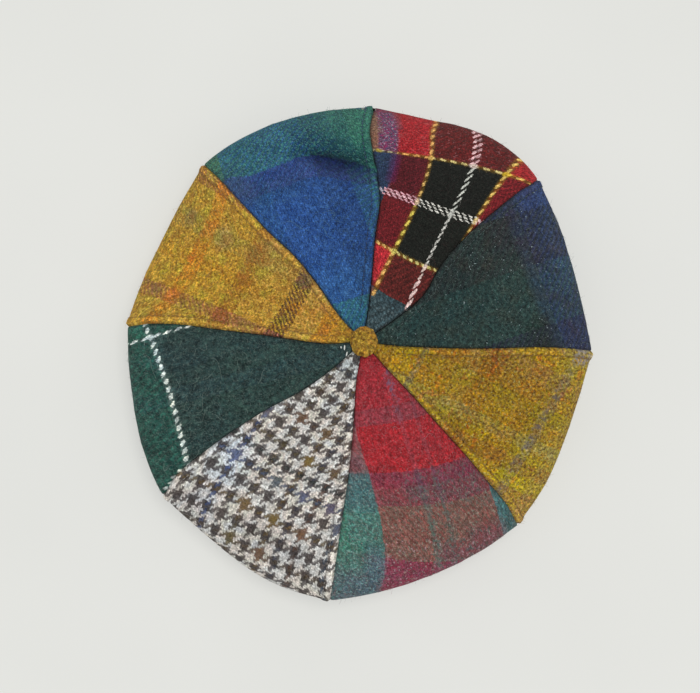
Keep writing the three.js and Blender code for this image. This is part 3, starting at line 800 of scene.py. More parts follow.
WHITE = (226, 222, 215)
DARK = (86, 79, 77)
GREY_GREEN = [(0.66, 0.68, 0.7), (0.86, 0.87, 0.88), (1.0, 1.0, 1.0), (1.16, 1.14, 1.12), (1.36, 1.34, 1.3)]
SPECS = {
    "navy_green_tweed": dict(
        seed=1, pitch=1.1, turn=-1, nap=0.55, depth=0.2, grain=1.5, heather=GREY_GREEN, lump_scale=0.5, yarn=1.1,
        patches=[(1.1, 0.96, 0.92), (1, 1, 1), (0.95, 1.02, 1.04)],
        warp=[(-80, (42, 44, 62)), (-30, (44, 68, 66)), (6, (42, 46, 48)), (38, (46, 58, 86))], lint=(176, 194, 196),
        weft=[(-20, (38, 56, 52)), (113, (44, 56, 94)), (168, (40, 60, 58))],
        shades=[
            ((1.08, 1.14, 1.13), (-12, 34, 126, 145), 4.0), ((1.04, 1.12, 1.2), (37, 62, 116, 140), 4.0), ((0.88, 0.88, 0.84), (-48, -24, 92, 111), 3.5), ((0.9, 0.94, 0.96), (-14, 40, 24, 76), 9.0), ((1.02, 0.9, 0.97), (18, 46, 92, 112), 4.0),
        ],
        washes=[((46, 60, 88), 0.5, (-80, 80, 106, 114), 3.0)],
        flecks=[((104, 126, 120), 0.7, 0.65, 0.4)], hair=(140, 158, 152), curl=0.35,
    ),
    "red_black_tartan": dict(
        seed=2, pitch=1.22, turn=1, nap=0.8, depth=0.3, grain=2.3, wander=1.7, yarn=1.5, curl=0.05, shadow_curl=0.25,
        heather=[(0.76, 0.74, 0.74), (1, 1, 1), (1.2, 1.18, 1.18)],
        warp=[(-80, (178, 44, 46)), (-31, (27, 30, 26)), (8, (148, 36, 42)), (28.2, (66, 82, 112))],
        weft=[
            (-20, (72, 98, 110)), (33.6, (146, 46, 46)), (56, (28, 31, 27)), (87.0, (26, 28, 25)),
            (124.0, (172, 46, 52)), (230, (34, 38, 34)),
        ],
        washes=[
            ((90, 70, 96), 0.6, (28.2, 41.3, 124, 175), 0.5), ((48, 70, 104), 0.6, (28.2, 60, 92, 124), 0.8),
            ((196, 40, 46), 0.5, (8, 28.2, 124, 175), 0.4), ((92, 24, 32), 0.6, (8, 28.2, 57, 124), 0.4),
            ((150, 112, 84), 0.75, (41.3, 60, 124, 175), 0.8), ((138, 108, 90), 0.6, (38.8, 60, 144, 175), 1.4), ((112, 80, 96), 0.6, (25.0, 30, 150, 178), 1.4), ((74, 34, 44), 0.3, (9.5, 27, 92, 124), 2.0), ((96, 40, 92), 0.5, (26, 32, 98, 124), 1.5),
            ((98, 40, 46), 0.55, (-31, 8, 124, 175), 0.4), ((62, 54, 78), 0.4, (28.2, 60, 22, 50), 2.0), ((116, 30, 44), 0.4, (-80, -31, 92, 124), 0.4),
        ],
        beads=[
            ("warp", (246, 190, 108), 8.0, 1.05, 7.4, 0.8, 0.62, 0.04, 124, 180, 0.0, 0.5),
            ("warp", (224, 186, 108), 8.0, 0.88, 7.2, 0.8, 0.54, 0.04, 92, 124, 0.2, 0.3),
            ("warp", (228, 208, 94), 8.0, 1.1, 6.5, 0.8, 0.58, 0.04, 56, 87, 0.0, 0.42),
            ("warp", (242, 190, 110), 8.0, 1.05, 5.7, 0.8, 0.56, 0.04, 30, 56, 0.0, 0.46),
            ("warp", (236, 200, 108), -31.0, 0.96, 6.2, 0.8, 0.57, 0.04, -20, 180, 0.0, 0.42),
            ("weft", (248, 184, 106), 124.0, 0.95, 6.6, 0.6, 0.6, 0.04, 8, 28.5, 0.0, 0.55),
            ("weft", (206, 196, 154), 124.0, 0.95, 6.0, 0.6, 0.56, 0.06, 28.5, 80, 0.0, 0.3),
            ("weft", (226, 208, 136), 124.0, 0.9, 5.7, -0.6, 0.58, 0.04, -31, 8, 0.3, 0.36),
            ("weft", (246, 200, 106), 124.0, 0.97, 5.7, 0.6, 0.6, 0.04, -80, -31, 0.0, 0.5),
            ("weft", (240, 194, 116), 56.0, 0.9, 4.3, -0.8, 0.6, 0.04, 8, 80, 0.0, 0.5),
            ("weft", (216, 206, 128), 56.0, 0.82, 4.5, -0.8, 0.58, 0.04, -80, 8, 0.5, 0.4),
            ("warp", (210, 214, 204), -15.1, 1.45, 5.6, 2.0, 0.5, 0.02, 92, 124, 0.0, 0.0),
            ("warp", (212, 212, 204), -15.1, 1.0, 4.6, 1.6, 0.74, 0.04, 56, 88, 0.0, 0.0),
            ("warp", (238, 214, 204), -15.1, 1.1, 5.2, 1.4, 0.68, 0.04, 48, 56, 0.0, 0.0),
            ("warp", (242, 212, 206), -15.1, 1.65, 5.4, 1.3, 0.72, 0.02, 20, 48, 0.0, 0.0),
            ("warp", (248, 204, 206), -13.9, 1.05, 4.9, 1.3, 0.56, 0.04, 125, 180, 0.0, 0.0),
            ("warp", (238, 190, 194), -16.0, 0.98, 4.9, 1.3, 0.56, 0.06, 125, 180, 0.5, 0.0),
            ("weft", (228, 228, 218), 88.0, 0.7, 4.1, -1.6, 0.54, 0.03, -31, 8, 0.0, 0.0),
            ("weft", (228, 228, 218), 89.8, 0.7, 4.1, -1.6, 0.54, 0.03, -31, 8, 0.5, 0.0),
            ("weft", (228, 228, 218), 91.6, 0.7, 4.1, -1.6, 0.54, 0.03, -31, 8, 0.0, 0.0),
            ("weft", (246, 186, 198), 87.8, 0.85, 4.1, -1.6, 0.66, 0.05, 8, 31, 0.0, 0.0),
            ("weft", (250, 202, 210), 89.8, 0.9, 4.1, -1.6, 0.72, 0.05, 8, 31, 0.5, 0.0),
            ("weft", (246, 186, 198), 91.8, 0.85, 4.1, -1.6, 0.66, 0.05, 8, 31, 0.0, 0.0),
            ("weft", (246, 206, 210), 89.8, 1.9, 3.6, -1.0, 0.68, 0.05, -80, -31, 0.0, 0.0),
            ("weft", (214, 206, 222), 89.8, 1.8, 3.8, -1.0, 0.66, 0.05, 31, 80, 0.0, 0.0),
        ],
        shades=[((1.26, 1.04, 1.02), (9, 27, 38, 56), 1.5), ((1.12, 1.1, 1.1), (9, 29, 58, 86), 1.5), ((0.94, 0.9, 0.82), (-30, 7, 126, 175), 1.0), ((1.07, 1.06, 1.02), (-50, 50, -20, 32), 3.0), ((1.07, 1.14, 1.26), (8, 28, 36, 56), 1.5), ((0.89, 0.97, 0.93), (-32, 7, 34, 55), 2.0)],
        halo=(150, 116, 22),
        knots=[
            ((240, 196, 104), 0.8, 8.0, 124.0, 1.8, 2.4), ((236, 200, 52), 0.8, -31.0, 124.0, 2.0, 1.8), ((206, 188, 62), 0.8, 40.5, 124.0, 2.4, 2.2), ((236, 216, 206), 0.85, -15.1, 124.0, 2.4, 1.8),
            ((214, 216, 208), 0.8, -15.1, 89.8, 1.5, 3.2), ((236, 206, 168), 0.8, 8.0, 89.8, 1.6, 2.8), ((228, 216, 112), 0.85, 8.0, 56.0, 1.9, 1.9),
            ((232, 208, 192), 0.8, -15.1, 56.0, 1.5, 1.8), ((236, 214, 150), 0.7, -31.0, 89.8, 1.6, 2.6),
        ],
        flecks=[
            ((176, 46, 110), 0.5, 0.52, 0.6, (28.2, 41.3, 125, 175)), ((214, 196, 214), 0.8, 0.57, 0.55, (28.2, 41.3, 125, 175)),
            ((60, 78, 118), 0.7, 0.55, 0.7, (28.2, 41.3, 125, 175)), ((60, 96, 92), 0.6, 0.56, 0.4, (36, 60, 92, 124)),
            ((206, 150, 156), 0.7, 0.62, 0.3, (-31, 8, 126, 170)), ((206, 178, 110), 0.9, 0.6, 0.5, (41.3, 60, 126, 175)),
            ((222, 112, 112), 0.6, 0.58, 0.4, (8, 28.2, 125, 175)), ((118, 22, 34), 0.7, 0.56, 0.45, (8, 28.2, 125, 175)),
            ((70, 44, 40), 0.4, 0.53, 0.5, (-31, 8, 126, 170)), ((48, 70, 104), 0.6, 0.5, 0.5, (22, 60, 24, 44)),
            ((120, 138, 142), 0.7, 0.58, 0.5, (-40, 60, -5, 30)),
        ],
        hair=(112, 84, 84),
    ),
    "blue_teal_tweed": dict(
        seed=3, pitch=1.1, turn=1, nap=0.6, depth=0.3, grain=2.3, yarn=2.2, brushed=(1.7, 0.55),
        heather=[(0.64, 0.7, 0.76), (0.88, 0.9, 0.92), (1, 1, 1), (1.1, 1.1, 1.06), (1.34, 1.3, 1.2)],
        patches=[(0.88, 0.92, 0.95), (1, 1, 1), (1.1, 1.07, 1.05)],
        warp=[
            (-80, (58, 122, 100)), (-34, (46, 92, 104)), (-26, (36, 66, 112)), (-8, (42, 80, 140)), (3, (45, 85, 152)),
            (22, (43, 87, 144)), (45, (78, 110, 84)),
        ],
        weft=[(-20, (50, 106, 114)), (26, (45, 84, 154)), (102, (54, 68, 136)), (118.5, (49, 116, 102)), (165, (46, 84, 136))],
        shades=[
            # the first, second and fifth rows are painted shade in and beside the fold
            ((0.68, 0.79, 0.9), (-42, 0, 118.5, 134), 4.0), ((0.9, 0.92, 0.95), (-30, 4, 132, 146), 5.0), ((0.9, 0.95, 1.0), (-40, -10, 100, 117), 4.0),
            ((0.94, 0.97, 0.91), (2, 34, 96, 112), 5.0), ((0.86, 0.89, 0.9), (-44, -20, 120, 131), 3.0), ((1.09, 1.12, 1.04), (-40, 40, -20, 46), 8.0),
        ],
        washes=[((52, 112, 98), 0.35, (-60, -18, 118.5, 175), 2.0), ((66, 62, 112), 0.3, (30, 52, 98, 117), 4.0), ((62, 66, 122), 0.12, (-4, 16, 100, 117), 4.0), ((64, 94, 98), 0.3, (34, 62, 104, 128), 4.0)],
        flecks=[
            ((96, 146, 176), 0.7, 0.65, 0.35), ((104, 168, 142), 0.85, 0.575, 0.5, (-60, 60, 119, 165)),
            ((28, 60, 68), 0.85, 0.555, 0.5, (-60, 60, 119, 165)), ((122, 168, 180), 0.85, 0.63, 0.4, (-60, 60, 119, 165)),
        ], hair=(130, 176, 186),
    ),
    "mustard_check_tweed": dict(
        seed=4, pitch=0.8, turn=1, nap=0.55, depth=0.2, grain=2.3, grain_scale=0.95, wander=4.0, lump_scale=0.75,
        heather=[(0.68, 0.66, 0.6), (0.88, 0.86, 0.78), (1, 1.02, 0.95), (1.1, 1.12, 1.12), (1.28, 1.28, 1.36)],
        patches=[(0.94, 1.0, 0.9), (1, 1, 1), (1.05, 0.97, 0.96), (0.98, 1.03, 1.0)],
        warp=[
            (-80, (184, 142, 54)), (-50, (146, 90, 72), 1.0), (-42, (190, 154, 62)), (-25, (168, 140, 70)), (-14, (194, 156, 58)),
            (-4, (198, 146, 40)), (5, (200, 160, 54)), (20.5, (152, 94, 76), 0.95), (28.5, (190, 158, 68)),
        ],
        weft=[
            (-20, (174, 132, 50)), (18, (188, 130, 42)), (28, (196, 156, 80)), (42.6, (88, 58, 46), 0.25), (53.4, (196, 158, 68)),
            (77, (160, 104, 38), 0.9), (87, (196, 160, 54)), (111.5, (212, 136, 32), 0.95), (119.5, (196, 160, 54)),
        ],
        washes=[((206, 146, 50), 0.3, (-60, 60, 111.5, 120), 1.8)],
        spots=[
            ((214, 108, 26), 0.55, 0.2, 118.5, 3.6, 3.0), ((208, 112, 42), 0.34, 23.3, 116.0, 5.0, 3.4), ((210, 128, 44), 0.4, -22, 115.9, 5.0, 3.0),
            ((156, 90, 42), 0.4, 23.8, 84.2, 4.0, 6.0), ((150, 100, 40), 0.5, -1.5, 83.1, 4.6, 4.6), ((140, 92, 78), 0.45, 23.5, 128.0, 4.0, 4.6),
            ((166, 110, 82), 0.4, 23.8, 71.2, 3.6, 5.0), ((102, 70, 78), 0.6, -17.6, 49.6, 5.2, 5.2), ((124, 114, 80), 0.5, -20.9, 130.5, 6.0, 4.4),
            ((152, 134, 96), 0.34, -19.9, 105.4, 9.0, 6.0), ((212, 122, 34), 0.45, 5.9, 24.7, 5.0, 4.0), ((174, 142, 92), 0.4, -28.8, 75.6, 5.0, 8.0),
            ((176, 106, 56), 0.4, -7.3, 30.1, 4.0, 4.0),
        ],
        flecks=[
            ((118, 84, 40), 0.5, 0.63, 0.3), ((160, 158, 60), 0.4, 0.63, 0.35), ((224, 194, 126), 0.9, 0.64, 0.45),
            ((150, 92, 40), 0.22, 0.52, 0.3),
        ],
        hair=(226, 202, 138), curl=0.5,
    ),
    "dark_green_windowpane": dict(
        seed=5, pitch=1.22, turn=-1, nap=0.65, depth=0.18, grain=1.5, heather=GREY_GREEN, lump_scale=0.42, yarn=1.0,
        beads=[
            ("weft", (230, 242, 236), 122.6, 1.1, 5.25, -0.9, 0.62, 0.02, -80, 80, 0.0, 0.22), ("warp", (230, 240, 238), -39.7, 0.95, 5.1, -1.2, 0.6, 0.02, -20, 180, 0.0, 0.22),
        ],
        halo=(120, 146, 140), ragged=2.5,
        knots=[
            ((236, 246, 242), 0.7, -39.7, 122.6, 1.8, 2.0), ((232, 244, 238), 0.95, 51.6, 126.4, 1.0, 1.15), ((236, 246, 240), 0.95, 55.0, 129.3, 1.1, 1.2),
            ((230, 242, 236), 0.95, 58.3, 131.8, 1.0, 1.15), ((234, 244, 238), 0.95, 61.6, 134.4, 1.1, 1.2),
        ],
        shades=[((0.93, 0.95, 0.95), (18, 62, 123, 150), 6.0)],
        patches=[(0.97, 1.0, 1.03), (1, 1, 1), (1.02, 1.0, 0.98)],
        warp=[
            (-80, (46, 98, 84)), (-40, (42, 66, 64)), (-30, (41, 64, 66)),
            (-14, (42, 66, 64)), (-2, (41, 66, 70)), (8, (42, 66, 63)),
        ],
        weft=[
            (-20, (41, 62, 60)), (60, (40, 63, 60)), (100, (40, 61, 61)), (122.6, (37, 97, 84)),
            (150, (46, 86, 79)), (168, (46, 68, 66)),
        ],
        flecks=[((112, 138, 130), 0.7, 0.65, 0.4)], hair=(166, 186, 176), curl=0.55,
    ),
    "houndstooth_tweed": dict(
        seed=6, pitch=1.2, turn=1, nap=0.2, depth=0.24, grain=1.9, wander=3.1, yarn=1.6, curl=0.25, shadow_curl=0.32, grain_scale=1.1,
        heather=[(0.84, 0.84, 0.83), (1, 1, 1), (1.1, 1.1, 1.1)], lump_scale=0.6,
        patches=[(0.97, 0.995, 1.03), (1.0, 1.005, 0.98), (1.025, 0.995, 0.985), (0.98, 1.0, 1.02), (1.0, 0.995, 1.0), (1.01, 1.005, 0.975)], patch_scale=0.06,
        offsets=(5.0, 18.0),
        tooth=(
            9.6, WHITE, DARK,
            {-4: (72, 84, 118), -2: (92, 80, 60), 0: (100, 82, 54), 1: (66, 66, 76), 2: (90, 68, 58), 4: (64, 72, 84)},
            {
                0: (64, 68, 80), 2: (74, 62, 56), 4: (86, 70, 58), 6: (90, 80, 58), 7: (56, 60, 58), 8: (72, 82, 104),
                10: (98, 82, 56), 12: (84, 72, 60),
            },
        ),
        shades=[
            ((0.9, 0.9, 0.91), (-14, 30, 119, 130), 3.0), ((0.98, 1.03, 1.09), (-46, -24, 84, 110), 6.0), ((0.92, 0.93, 0.96), (-48, -28, 114, 134), 6.0), ((0.9, 0.94, 0.96), (-30, 30, -20, 22), 5.0),
        ], spots_on_dark=True,
        spots=[
            ((139, 103, 76), 0.54, -14.2, 56.4, 4.7, 4.7), ((134, 105, 71), 0.5, 5.0, 56.4, 4.7, 4.7), ((152, 124, 59), 0.58, 5.0, 75.6, 4.7, 4.7),
            ((109, 124, 164), 0.61, -33.4, 94.8, 5.2, 5.2), ((121, 137, 143), 0.5, -4.6, 94.8, 4.7, 4.7), ((116, 118, 148), 0.54, 14.6, 94.8, 4.7, 4.7),
            ((142, 118, 76), 0.54, -14.2, 114.0, 4.7, 4.7), ((148, 122, 66), 0.58, 5.0, 114.0, 4.7, 4.7), ((143, 103, 74), 0.54, 24.2, 114.0, 4.7, 4.7),
            ((124, 114, 74), 0.5, -14.2, 133.2, 4.7, 4.7), ((118, 111, 140), 0.5, 33.8, 94.8, 4.7, 4.7), ((141, 105, 83), 0.5, 5.0, 133.2, 4.7, 4.7),
            ((129, 105, 74), 0.43, 24.2, 75.6, 4.7, 4.7), ((119, 118, 136), 0.43, -33.4, 66.0, 4.7, 4.7), ((123, 120, 140), 0.43, -43.0, 75.6, 5.2, 4.7),
            ((114, 120, 141), 0.43, 43.4, 104.4, 4.7, 4.7),
        ],
        flecks=[], hair=(226, 220, 212), sheen=0.04,
    ),
    "red_teal_tartan": dict(
        shades=[((0.9, 0.99, 1.02), (-3, 46, 79, 92), 2.5), ((0.97, 0.84, 0.84), (-30, 30, -20, 26), 6.0)],
        seed=7, pitch=0.8, turn=-1, nap=0.87, depth=0.26, grain=1.8, wander=2.4, lump_scale=0.6, curl=0.45,
        heather=[(0.8, 0.76, 0.76), (0.93, 0.92, 0.92), (1, 1, 1), (1.08, 1.1, 1.12), (1.2, 1.26, 1.26)],
        patches=[(0.94, 1.02, 1.02), (1, 1, 1), (1.05, 0.97, 0.97)],
        warp=[
            (-80, (78, 142, 128)), (-47, (62, 140, 120)), (-38, (74, 136, 130)), (-21, (170, 48, 56)), (4.5, (142, 68, 78)),
            (8, (168, 50, 58)), (14.5, (138, 66, 76)), (17.5, (162, 46, 54)), (46, (62, 104, 122)),
        ],
        weft=[
            (-20, (160, 42, 52)), (47, (134, 64, 76)), (55, (182, 36, 42)), (77, (112, 62, 84)), (84, (96, 84, 90)),
            (92, (82, 118, 98)), (114.5, (116, 66, 92)), (138, (136, 76, 102)),
        ],
        washes=[
            ((68, 118, 120), 0.65, (-80, -21, 77, 96), 1.0), ((62, 130, 108), 0.55, (-80, -29, 110, 126), 4.0), ((64, 108, 118), 0.45, (-80, -21, 126, 170), 5.0), ((60, 100, 112), 0.35, (-30, -21, 112, 132), 3.0), ((84, 104, 118), 0.4, (-30, -21, 110, 170), 2.0),
            ((136, 44, 58), 0.8, (-80, -21, 40, 66), 3.0), ((118, 62, 78), 0.6, (-80, -21, 68, 77), 3.0), ((172, 34, 42), 0.3, (-21, 4.5, 55, 77), 0.6), ((122, 50, 82), 0.3, (46, 90, 20, 80), 1.2),
            ((126, 56, 82), 0.4, (-21, 46, 116, 170), 2.5), ((122, 58, 82), 0.5, (8, 48, 108.5, 116), 2.5), ((122, 62, 84), 0.45, (26, 48, 104, 110), 2.5),
        ],
        flecks=[
            ((200, 160, 160), 0.9, 0.655, 0.4), ((60, 92, 76), 0.6, 0.62, 0.35, (-20, 46, 86, 118)),
            ((92, 122, 112), 0.5, 0.53, 0.6, (4.5, 9.5, 80, 140)), ((92, 118, 112), 0.5, 0.53, 0.6, (14, 18.5, 80, 140)),
            ((120, 110, 140), 0.55, 0.56, 0.5, (3.5, 9, 10, 56)), ((176, 40, 76), 0.6, 0.58, 0.4, (-21, 46, 114, 170)), ((216, 186, 196), 0.8, 0.615, 0.5, (-21, 48, 106, 150)), ((70, 104, 102), 0.6, 0.58, 0.5, (0, 48, 104, 150)),
            ((150, 194, 186), 0.8, 0.57, 0.5, (-80, -21, 78, 175)), ((44, 72, 84), 0.75, 0.55, 0.5, (-80, -21, 78, 175)),
            ((102, 108, 104), 0.8, 0.54, 0.5, (-4, 46, 78, 100)), ((150, 60, 60), 0.3, 0.58, 0.3, (0, 46, 80, 112)),
            ((170, 176, 160), 0.8, 0.61, 0.45, (-21, 46, 84, 140)), ((64, 70, 60), 0.7, 0.56, 0.4, (-21, 46, 84, 140)),
        ], hair=(214, 170, 174),
    ),
    "golden_heather_tweed": dict(
        seed=8, pitch=0.9, turn=1, nap=0.6, depth=0.2, grain=2.3, grain_scale=0.8, wander=5.0, lump_scale=0.62, patch_scale=0.13,
        heather=[(0.66, 0.6, 0.56), (0.86, 0.81, 0.68), (1.0, 0.99, 0.86), (1.05, 1.1, 0.84), (1.22, 1.16, 0.98), (1.34, 1.36, 1.34)],
        patches=[(1.06, 0.9, 0.95), (0.98, 1.05, 0.74), (1.0, 1.0, 1.0), (0.97, 1.01, 1.22), (1.06, 0.98, 0.86)],
        warp=[
            (-80, (166, 118, 74)), (-40, (180, 154, 28)), (-31, (146, 106, 44)), (-22, (164, 142, 26)), (-15, (154, 144, 88)),
            (-8, (168, 128, 30)), (2, (148, 122, 22)), (12, (153, 106, 36)), (22, (146, 106, 66)), (34, (166, 136, 38)), (46, (156, 134, 94)),
        ],
        weft=[
            (-20, (154, 114, 38)), (25, (176, 144, 22)), (38.5, (116, 108, 104)), (41, (164, 122, 42)), (60, (156, 128, 60)),
            (72, (146, 98, 30)), (83, (158, 126, 30)), (97, (168, 124, 34)), (110, (160, 136, 26)), (116.0, (138, 120, 86), 0.95),
            (120.6, (178, 146, 42)), (132, (176, 146, 68)),
        ],
        shades=[((0.93, 0.91, 0.88), (-12, 8, 106, 124), 5.0), ((1.0, 0.95, 0.9), (-32, -8, 80, 112), 5.0), ((1.0, 0.97, 0.91), (-80, 80, -20, 110), 5.0)],
        flecks=[
            ((186, 168, 44), 0.4, 0.6, 0.4), ((104, 68, 30), 0.5, 0.63, 0.35), ((170, 122, 64), 0.4, 0.65, 0.3),
            ((216, 206, 132), 0.75, 0.62, 0.5), ((150, 150, 168), 0.5, 0.5, 0.5, (44, 70, 116, 134)),
            ((108, 100, 108), 0.3, 0.5, 0.55, (-70, 40, 115.5, 120.0)), ((96, 62, 22), 0.8, 0.6, 0.4),
        ],
        hair=(226, 214, 146), curl=0.5,
    ),
    "button_cloth": dict(
        seed=9, pitch=0.8, turn=1, nap=0.5, depth=0.25, grain=2.8, lump_scale=0.55, patch_scale=0.16,
        heather=[(0.66, 0.6, 0.52), (0.86, 0.8, 0.7), (1, 1, 0.9), (1.14, 1.12, 0.96), (1.4, 1.4, 1.5)],
        patches=[(1.06, 0.9, 0.8), (1, 1, 1), (0.94, 1.0, 1.0), (1.04, 1.0, 1.1)], curl=0.7, shadow_curl=0.35,
        warp=[(-80, (172, 133, 50))], weft=[(-20, (166, 126, 44))],
        flecks=[((206, 170, 60), 0.5, 0.6, 0.4), ((130, 84, 36), 0.6, 0.62, 0.4)], hair=(222, 200, 130),
    ),
    "band_cloth": dict(
        seed=10, pitch=1.1, turn=1, nap=0.5, depth=0.28, grain=2.0, heather=GREY_GREEN,
        warp=[(-80, (66, 76, 72))], weft=[(-20, (54, 64, 62))], patches=[(0.95, 1.0, 1.03), (1, 1, 1), (1.05, 1.0, 0.97)],
        flecks=[((120, 132, 126), 0.6, 0.63, 0.5)], hair=(150, 160, 154), curl=0.4,
    ),
    "peak_cloth": dict(
        seed=11, pitch=1.1, turn=-1, nap=0.5, depth=0.28, grain=2.0, heather=GREY_GREEN,
        warp=[(-80, (66, 76, 72))], weft=[(-20, (54, 64, 62))], patches=[(0.95, 1.0, 1.03), (1, 1, 1), (1.05, 1.0, 0.97)],
        flecks=[((120, 132, 126), 0.6, 0.63, 0.5)], hair=(150, 160, 154), curl=0.4,
    ),
}
MATERIALS = {slot: tweed(slot, spec) for slot, spec in SPECS.items()}


def thread_material(name, rgb):
    g = Graph(name)
    where = g.node("ShaderNodeTexCoord")
    twist = g.noise(where.outputs["Object"], 2600.0, 2.0, 0.6)
    patch = g.noise(where.outputs["Object"], 160.0, 2.0, 0.5)
    col = g.scaled(colour(rgb), g.span(twist, 0.3, 0.7, 0.72, 1.18))
    g.link(g.scaled(col, g.span(patch, 0.3, 0.7, 0.9, 1.1)), g.shader.inputs["Base Color"])
    g.shader.inputs["Roughness"].default_value = 0.7
    g.shader.inputs["Sheen Weight"].default_value = 0.1
    bump = g.node("ShaderNodeBump")
    bump.inputs["Strength"].default_value = 0.6
    bump.inputs["Distance"].default_value = 0.0001
    g.link(twist, bump.inputs["Height"])
    g.link(bump.outputs[0], g.shader.inputs["Normal"])
    return g.material


# ---------------------------------------------------------------- small joined pieces
def tubes(paths, radii, sides):
    """Closed round-ended tubes. paths: n tubes of m points; radii: the radius at each of the m points."""
    n, m = paths.shape[:2]
    along = unit(np.gradient(paths, axis=1))
    helper = np.where(np.abs(along[..., 2:3]) < 0.9, np.array([0, 0, 1.0]), np.array([1.0, 0, 0]))
    side = unit(np.cross(along, helper))
    up = np.cross(side, along)
    turn = 2 * np.pi * np.arange(sides) / sides
    radii = np.broadcast_to(radii, (n, m))
    ring = paths[:, :, None, :] + radii[:, :, None, None] * (
        np.cos(turn)[None, None, :, None] * side[:, :, None, :] + np.sin(turn)[None, None, :, None] * up[:, :, None, :]
    )
    points = ring.reshape(-1, 3)
    base = (np.arange(n) * m * sides)[:, None, None]
    k, s = np.meshgrid(np.arange(m - 1), np.arange(sides), indexing="ij")
    s2 = (s + 1) % sides
    a, b, c, d = k * sides + s, k * sides + s2, (k + 1) * sides + s, (k + 1) * sides + s2
    quads = np.stack([np.stack([a, b, d], -1), np.stack([a, d, c], -1)], 2).reshape(1, -1, 3)
    caps = [(0, t + 1, t) for t in range(1, sides - 1)]
    last = (m - 1) * sides
    caps += [(last, last + t, last + t + 1) for t in range(1, sides - 1)]
    faces = np.concatenate([(base + quads).reshape(-1, 3), (base + np.array(caps)[None]).reshape(-1, 3)])
    return points, faces


def stitch_run(path, normal, pitch, length, thread, bed):
    """Stitches laid along a line on the cloth: each one an arched thread that dips into the cloth at both ends."""
    run = np.concatenate([[0], np.cumsum(np.linalg.norm(np.diff(path, axis=0), axis=1))])
    count = int(run[-1] // pitch)
    rows = []
    for k in range(count):
        at = (k + 0.5) * pitch + (run[-1] - count * pitch) / 2 + 0.25 * math.sin(k * 12.9)
        s = np.clip(at + np.linspace(-0.5, 0.5, 7) * length, 0, run[-1])
        p = np.stack([np.interp(s, run, path[:, x]) for x in range(3)], -1)
        q = np.stack([np.interp(s, run, normal[:, x]) for x in range(3)], -1)
        lift = np.array([-0.55, 0.02, 0.2, 0.26, 0.2, 0.02, -0.55])[:, None] + bed
        rows.append(p + unit(q) * lift)
    return np.array(rows)


# ---------------------------------------------------------------- the crown
rng = np.random.default_rng(20240)
shapes = []
for p, row in enumerate(PANELS):
    g = panel_shape(p)
    relief = panel_relief(p, g)
    outer = g["P"] + g["N"] * relief[..., None]
    # half the seam gap is taken from the edge of each neighbour
    inward = unit(np.gradient(g["P"], axis=1))
    squeeze = 0.5 * SEAM_GAP * 0.5 * (np.exp(-g["first"] / 1.2) - np.exp(-g["second"] / 1.2))
    outer = outer + inward * squeeze[..., None]
    inner = (g["P"] - CLOTH * g["N"] + inward * squeeze[..., None])[::COARSE, ::COARSE]
    inner_relief = 0.6 * relief[::COARSE, ::COARSE] * (1 - np.exp(-(np.minimum(g["first"], g["second"])[::COARSE, ::COARSE] / 2.5) ** 2))
    inner = inner + g["N"][::COARSE, ::COARSE] * inner_relief[..., None]
    faces = weld_grids(outer, inner)
    cu, cv = cloth_place(p, g["u"], g["v"])
    uv = np.concatenate([np.stack([cu, cv], -1).reshape(-1, 2), np.stack([cu, cv], -1)[::COARSE, ::COARSE].reshape(-1, 2)])
    # the seam attribute: painted shade in the crease folds, then painted shade along each seam
    seam = g["fold"]
    for deep, d in zip(row["deep"], (g["first"], g["second"])):
        seam = seam + deep * (0.7 * np.exp(-((d / 0.65) ** 2)) + 0.25 * np.exp(-((d / 1.8) ** 2)))
    for side, d in enumerate((g["first"], g["second"])):
        if row["stitched"][side]:
            room = ease(3, 14, g["half"])
            # painted shade in the topstitch groove
            seam = seam + 0.62 * room * np.exp(-(((d - TOPSTITCH_AT) / 0.55) ** 2)) * (0.75 + 0.25 * lumps(g["v"] / 5, d / 9, 31 * p + side))
            # painted highlight on the raised ridge over the allowances
            seam = seam - row["edge"] * room * ease(0.7, 1.5, d) * (1 - ease(TOPSTITCH_AT - 1.6, TOPSTITCH_AT - 0.6, d))
    seam = np.concatenate([seam.ravel(), 0 * seam[::COARSE, ::COARSE].ravel()])
    piece = make_mesh(
        f"{row['node']}_cloth", np.concatenate([outer.reshape(-1, 3), inner.reshape(-1, 3)]), faces, uv,
        dict(seam=seam, nap=0 * seam), sharp=55,
    )
    piece.data.materials.append(MATERIALS[row["slot"]])
    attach(piece, "root")
    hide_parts(row["node"])
    g["outer"], g["uv"], g["normal"] = outer, np.stack([cu, cv], -1), grid_normals(outer, np.array([0, 0, 1.0]))
    shapes.append(g)

# ---------------------------------------------------------------- the allowances turned in under each seam
def line_at(g, side, d):
    """The line on a panel's plain surface this far from one of its seams, from the crown's centre to the band."""
    points, normals, run = [], [], []
    for r in range(g["P"].shape[0] - LIP_CELLS):
        way = slice(None) if side == 0 else slice(None, None, -1)
        dist = (g["first"] if side == 0 else g["second"])[r][way]
        at = min(d, max(0.05, g["half"][r, 0] - 0.4))
        points.append([np.interp(at, dist, g["P"][r][way, x]) for x in range(3)])
        normals.append([np.interp(at, dist, g["N"][r][way, x]) for x in range(3)])
        run.append(g["P"][r][0 if side == 0 else -1])
    run = np.array(run)
    share = np.concatenate([[0], np.cumsum(np.linalg.norm(np.diff(run, axis=0), axis=1))])
    share /= share[-1]
    even = np.linspace(0, 1, 181)
    points, normals = np.array(points), unit(np.array(normals))
    return tuple(np.stack([np.interp(even, share, a[:, x]) for x in range(3)], -1) for a in (points, normals))


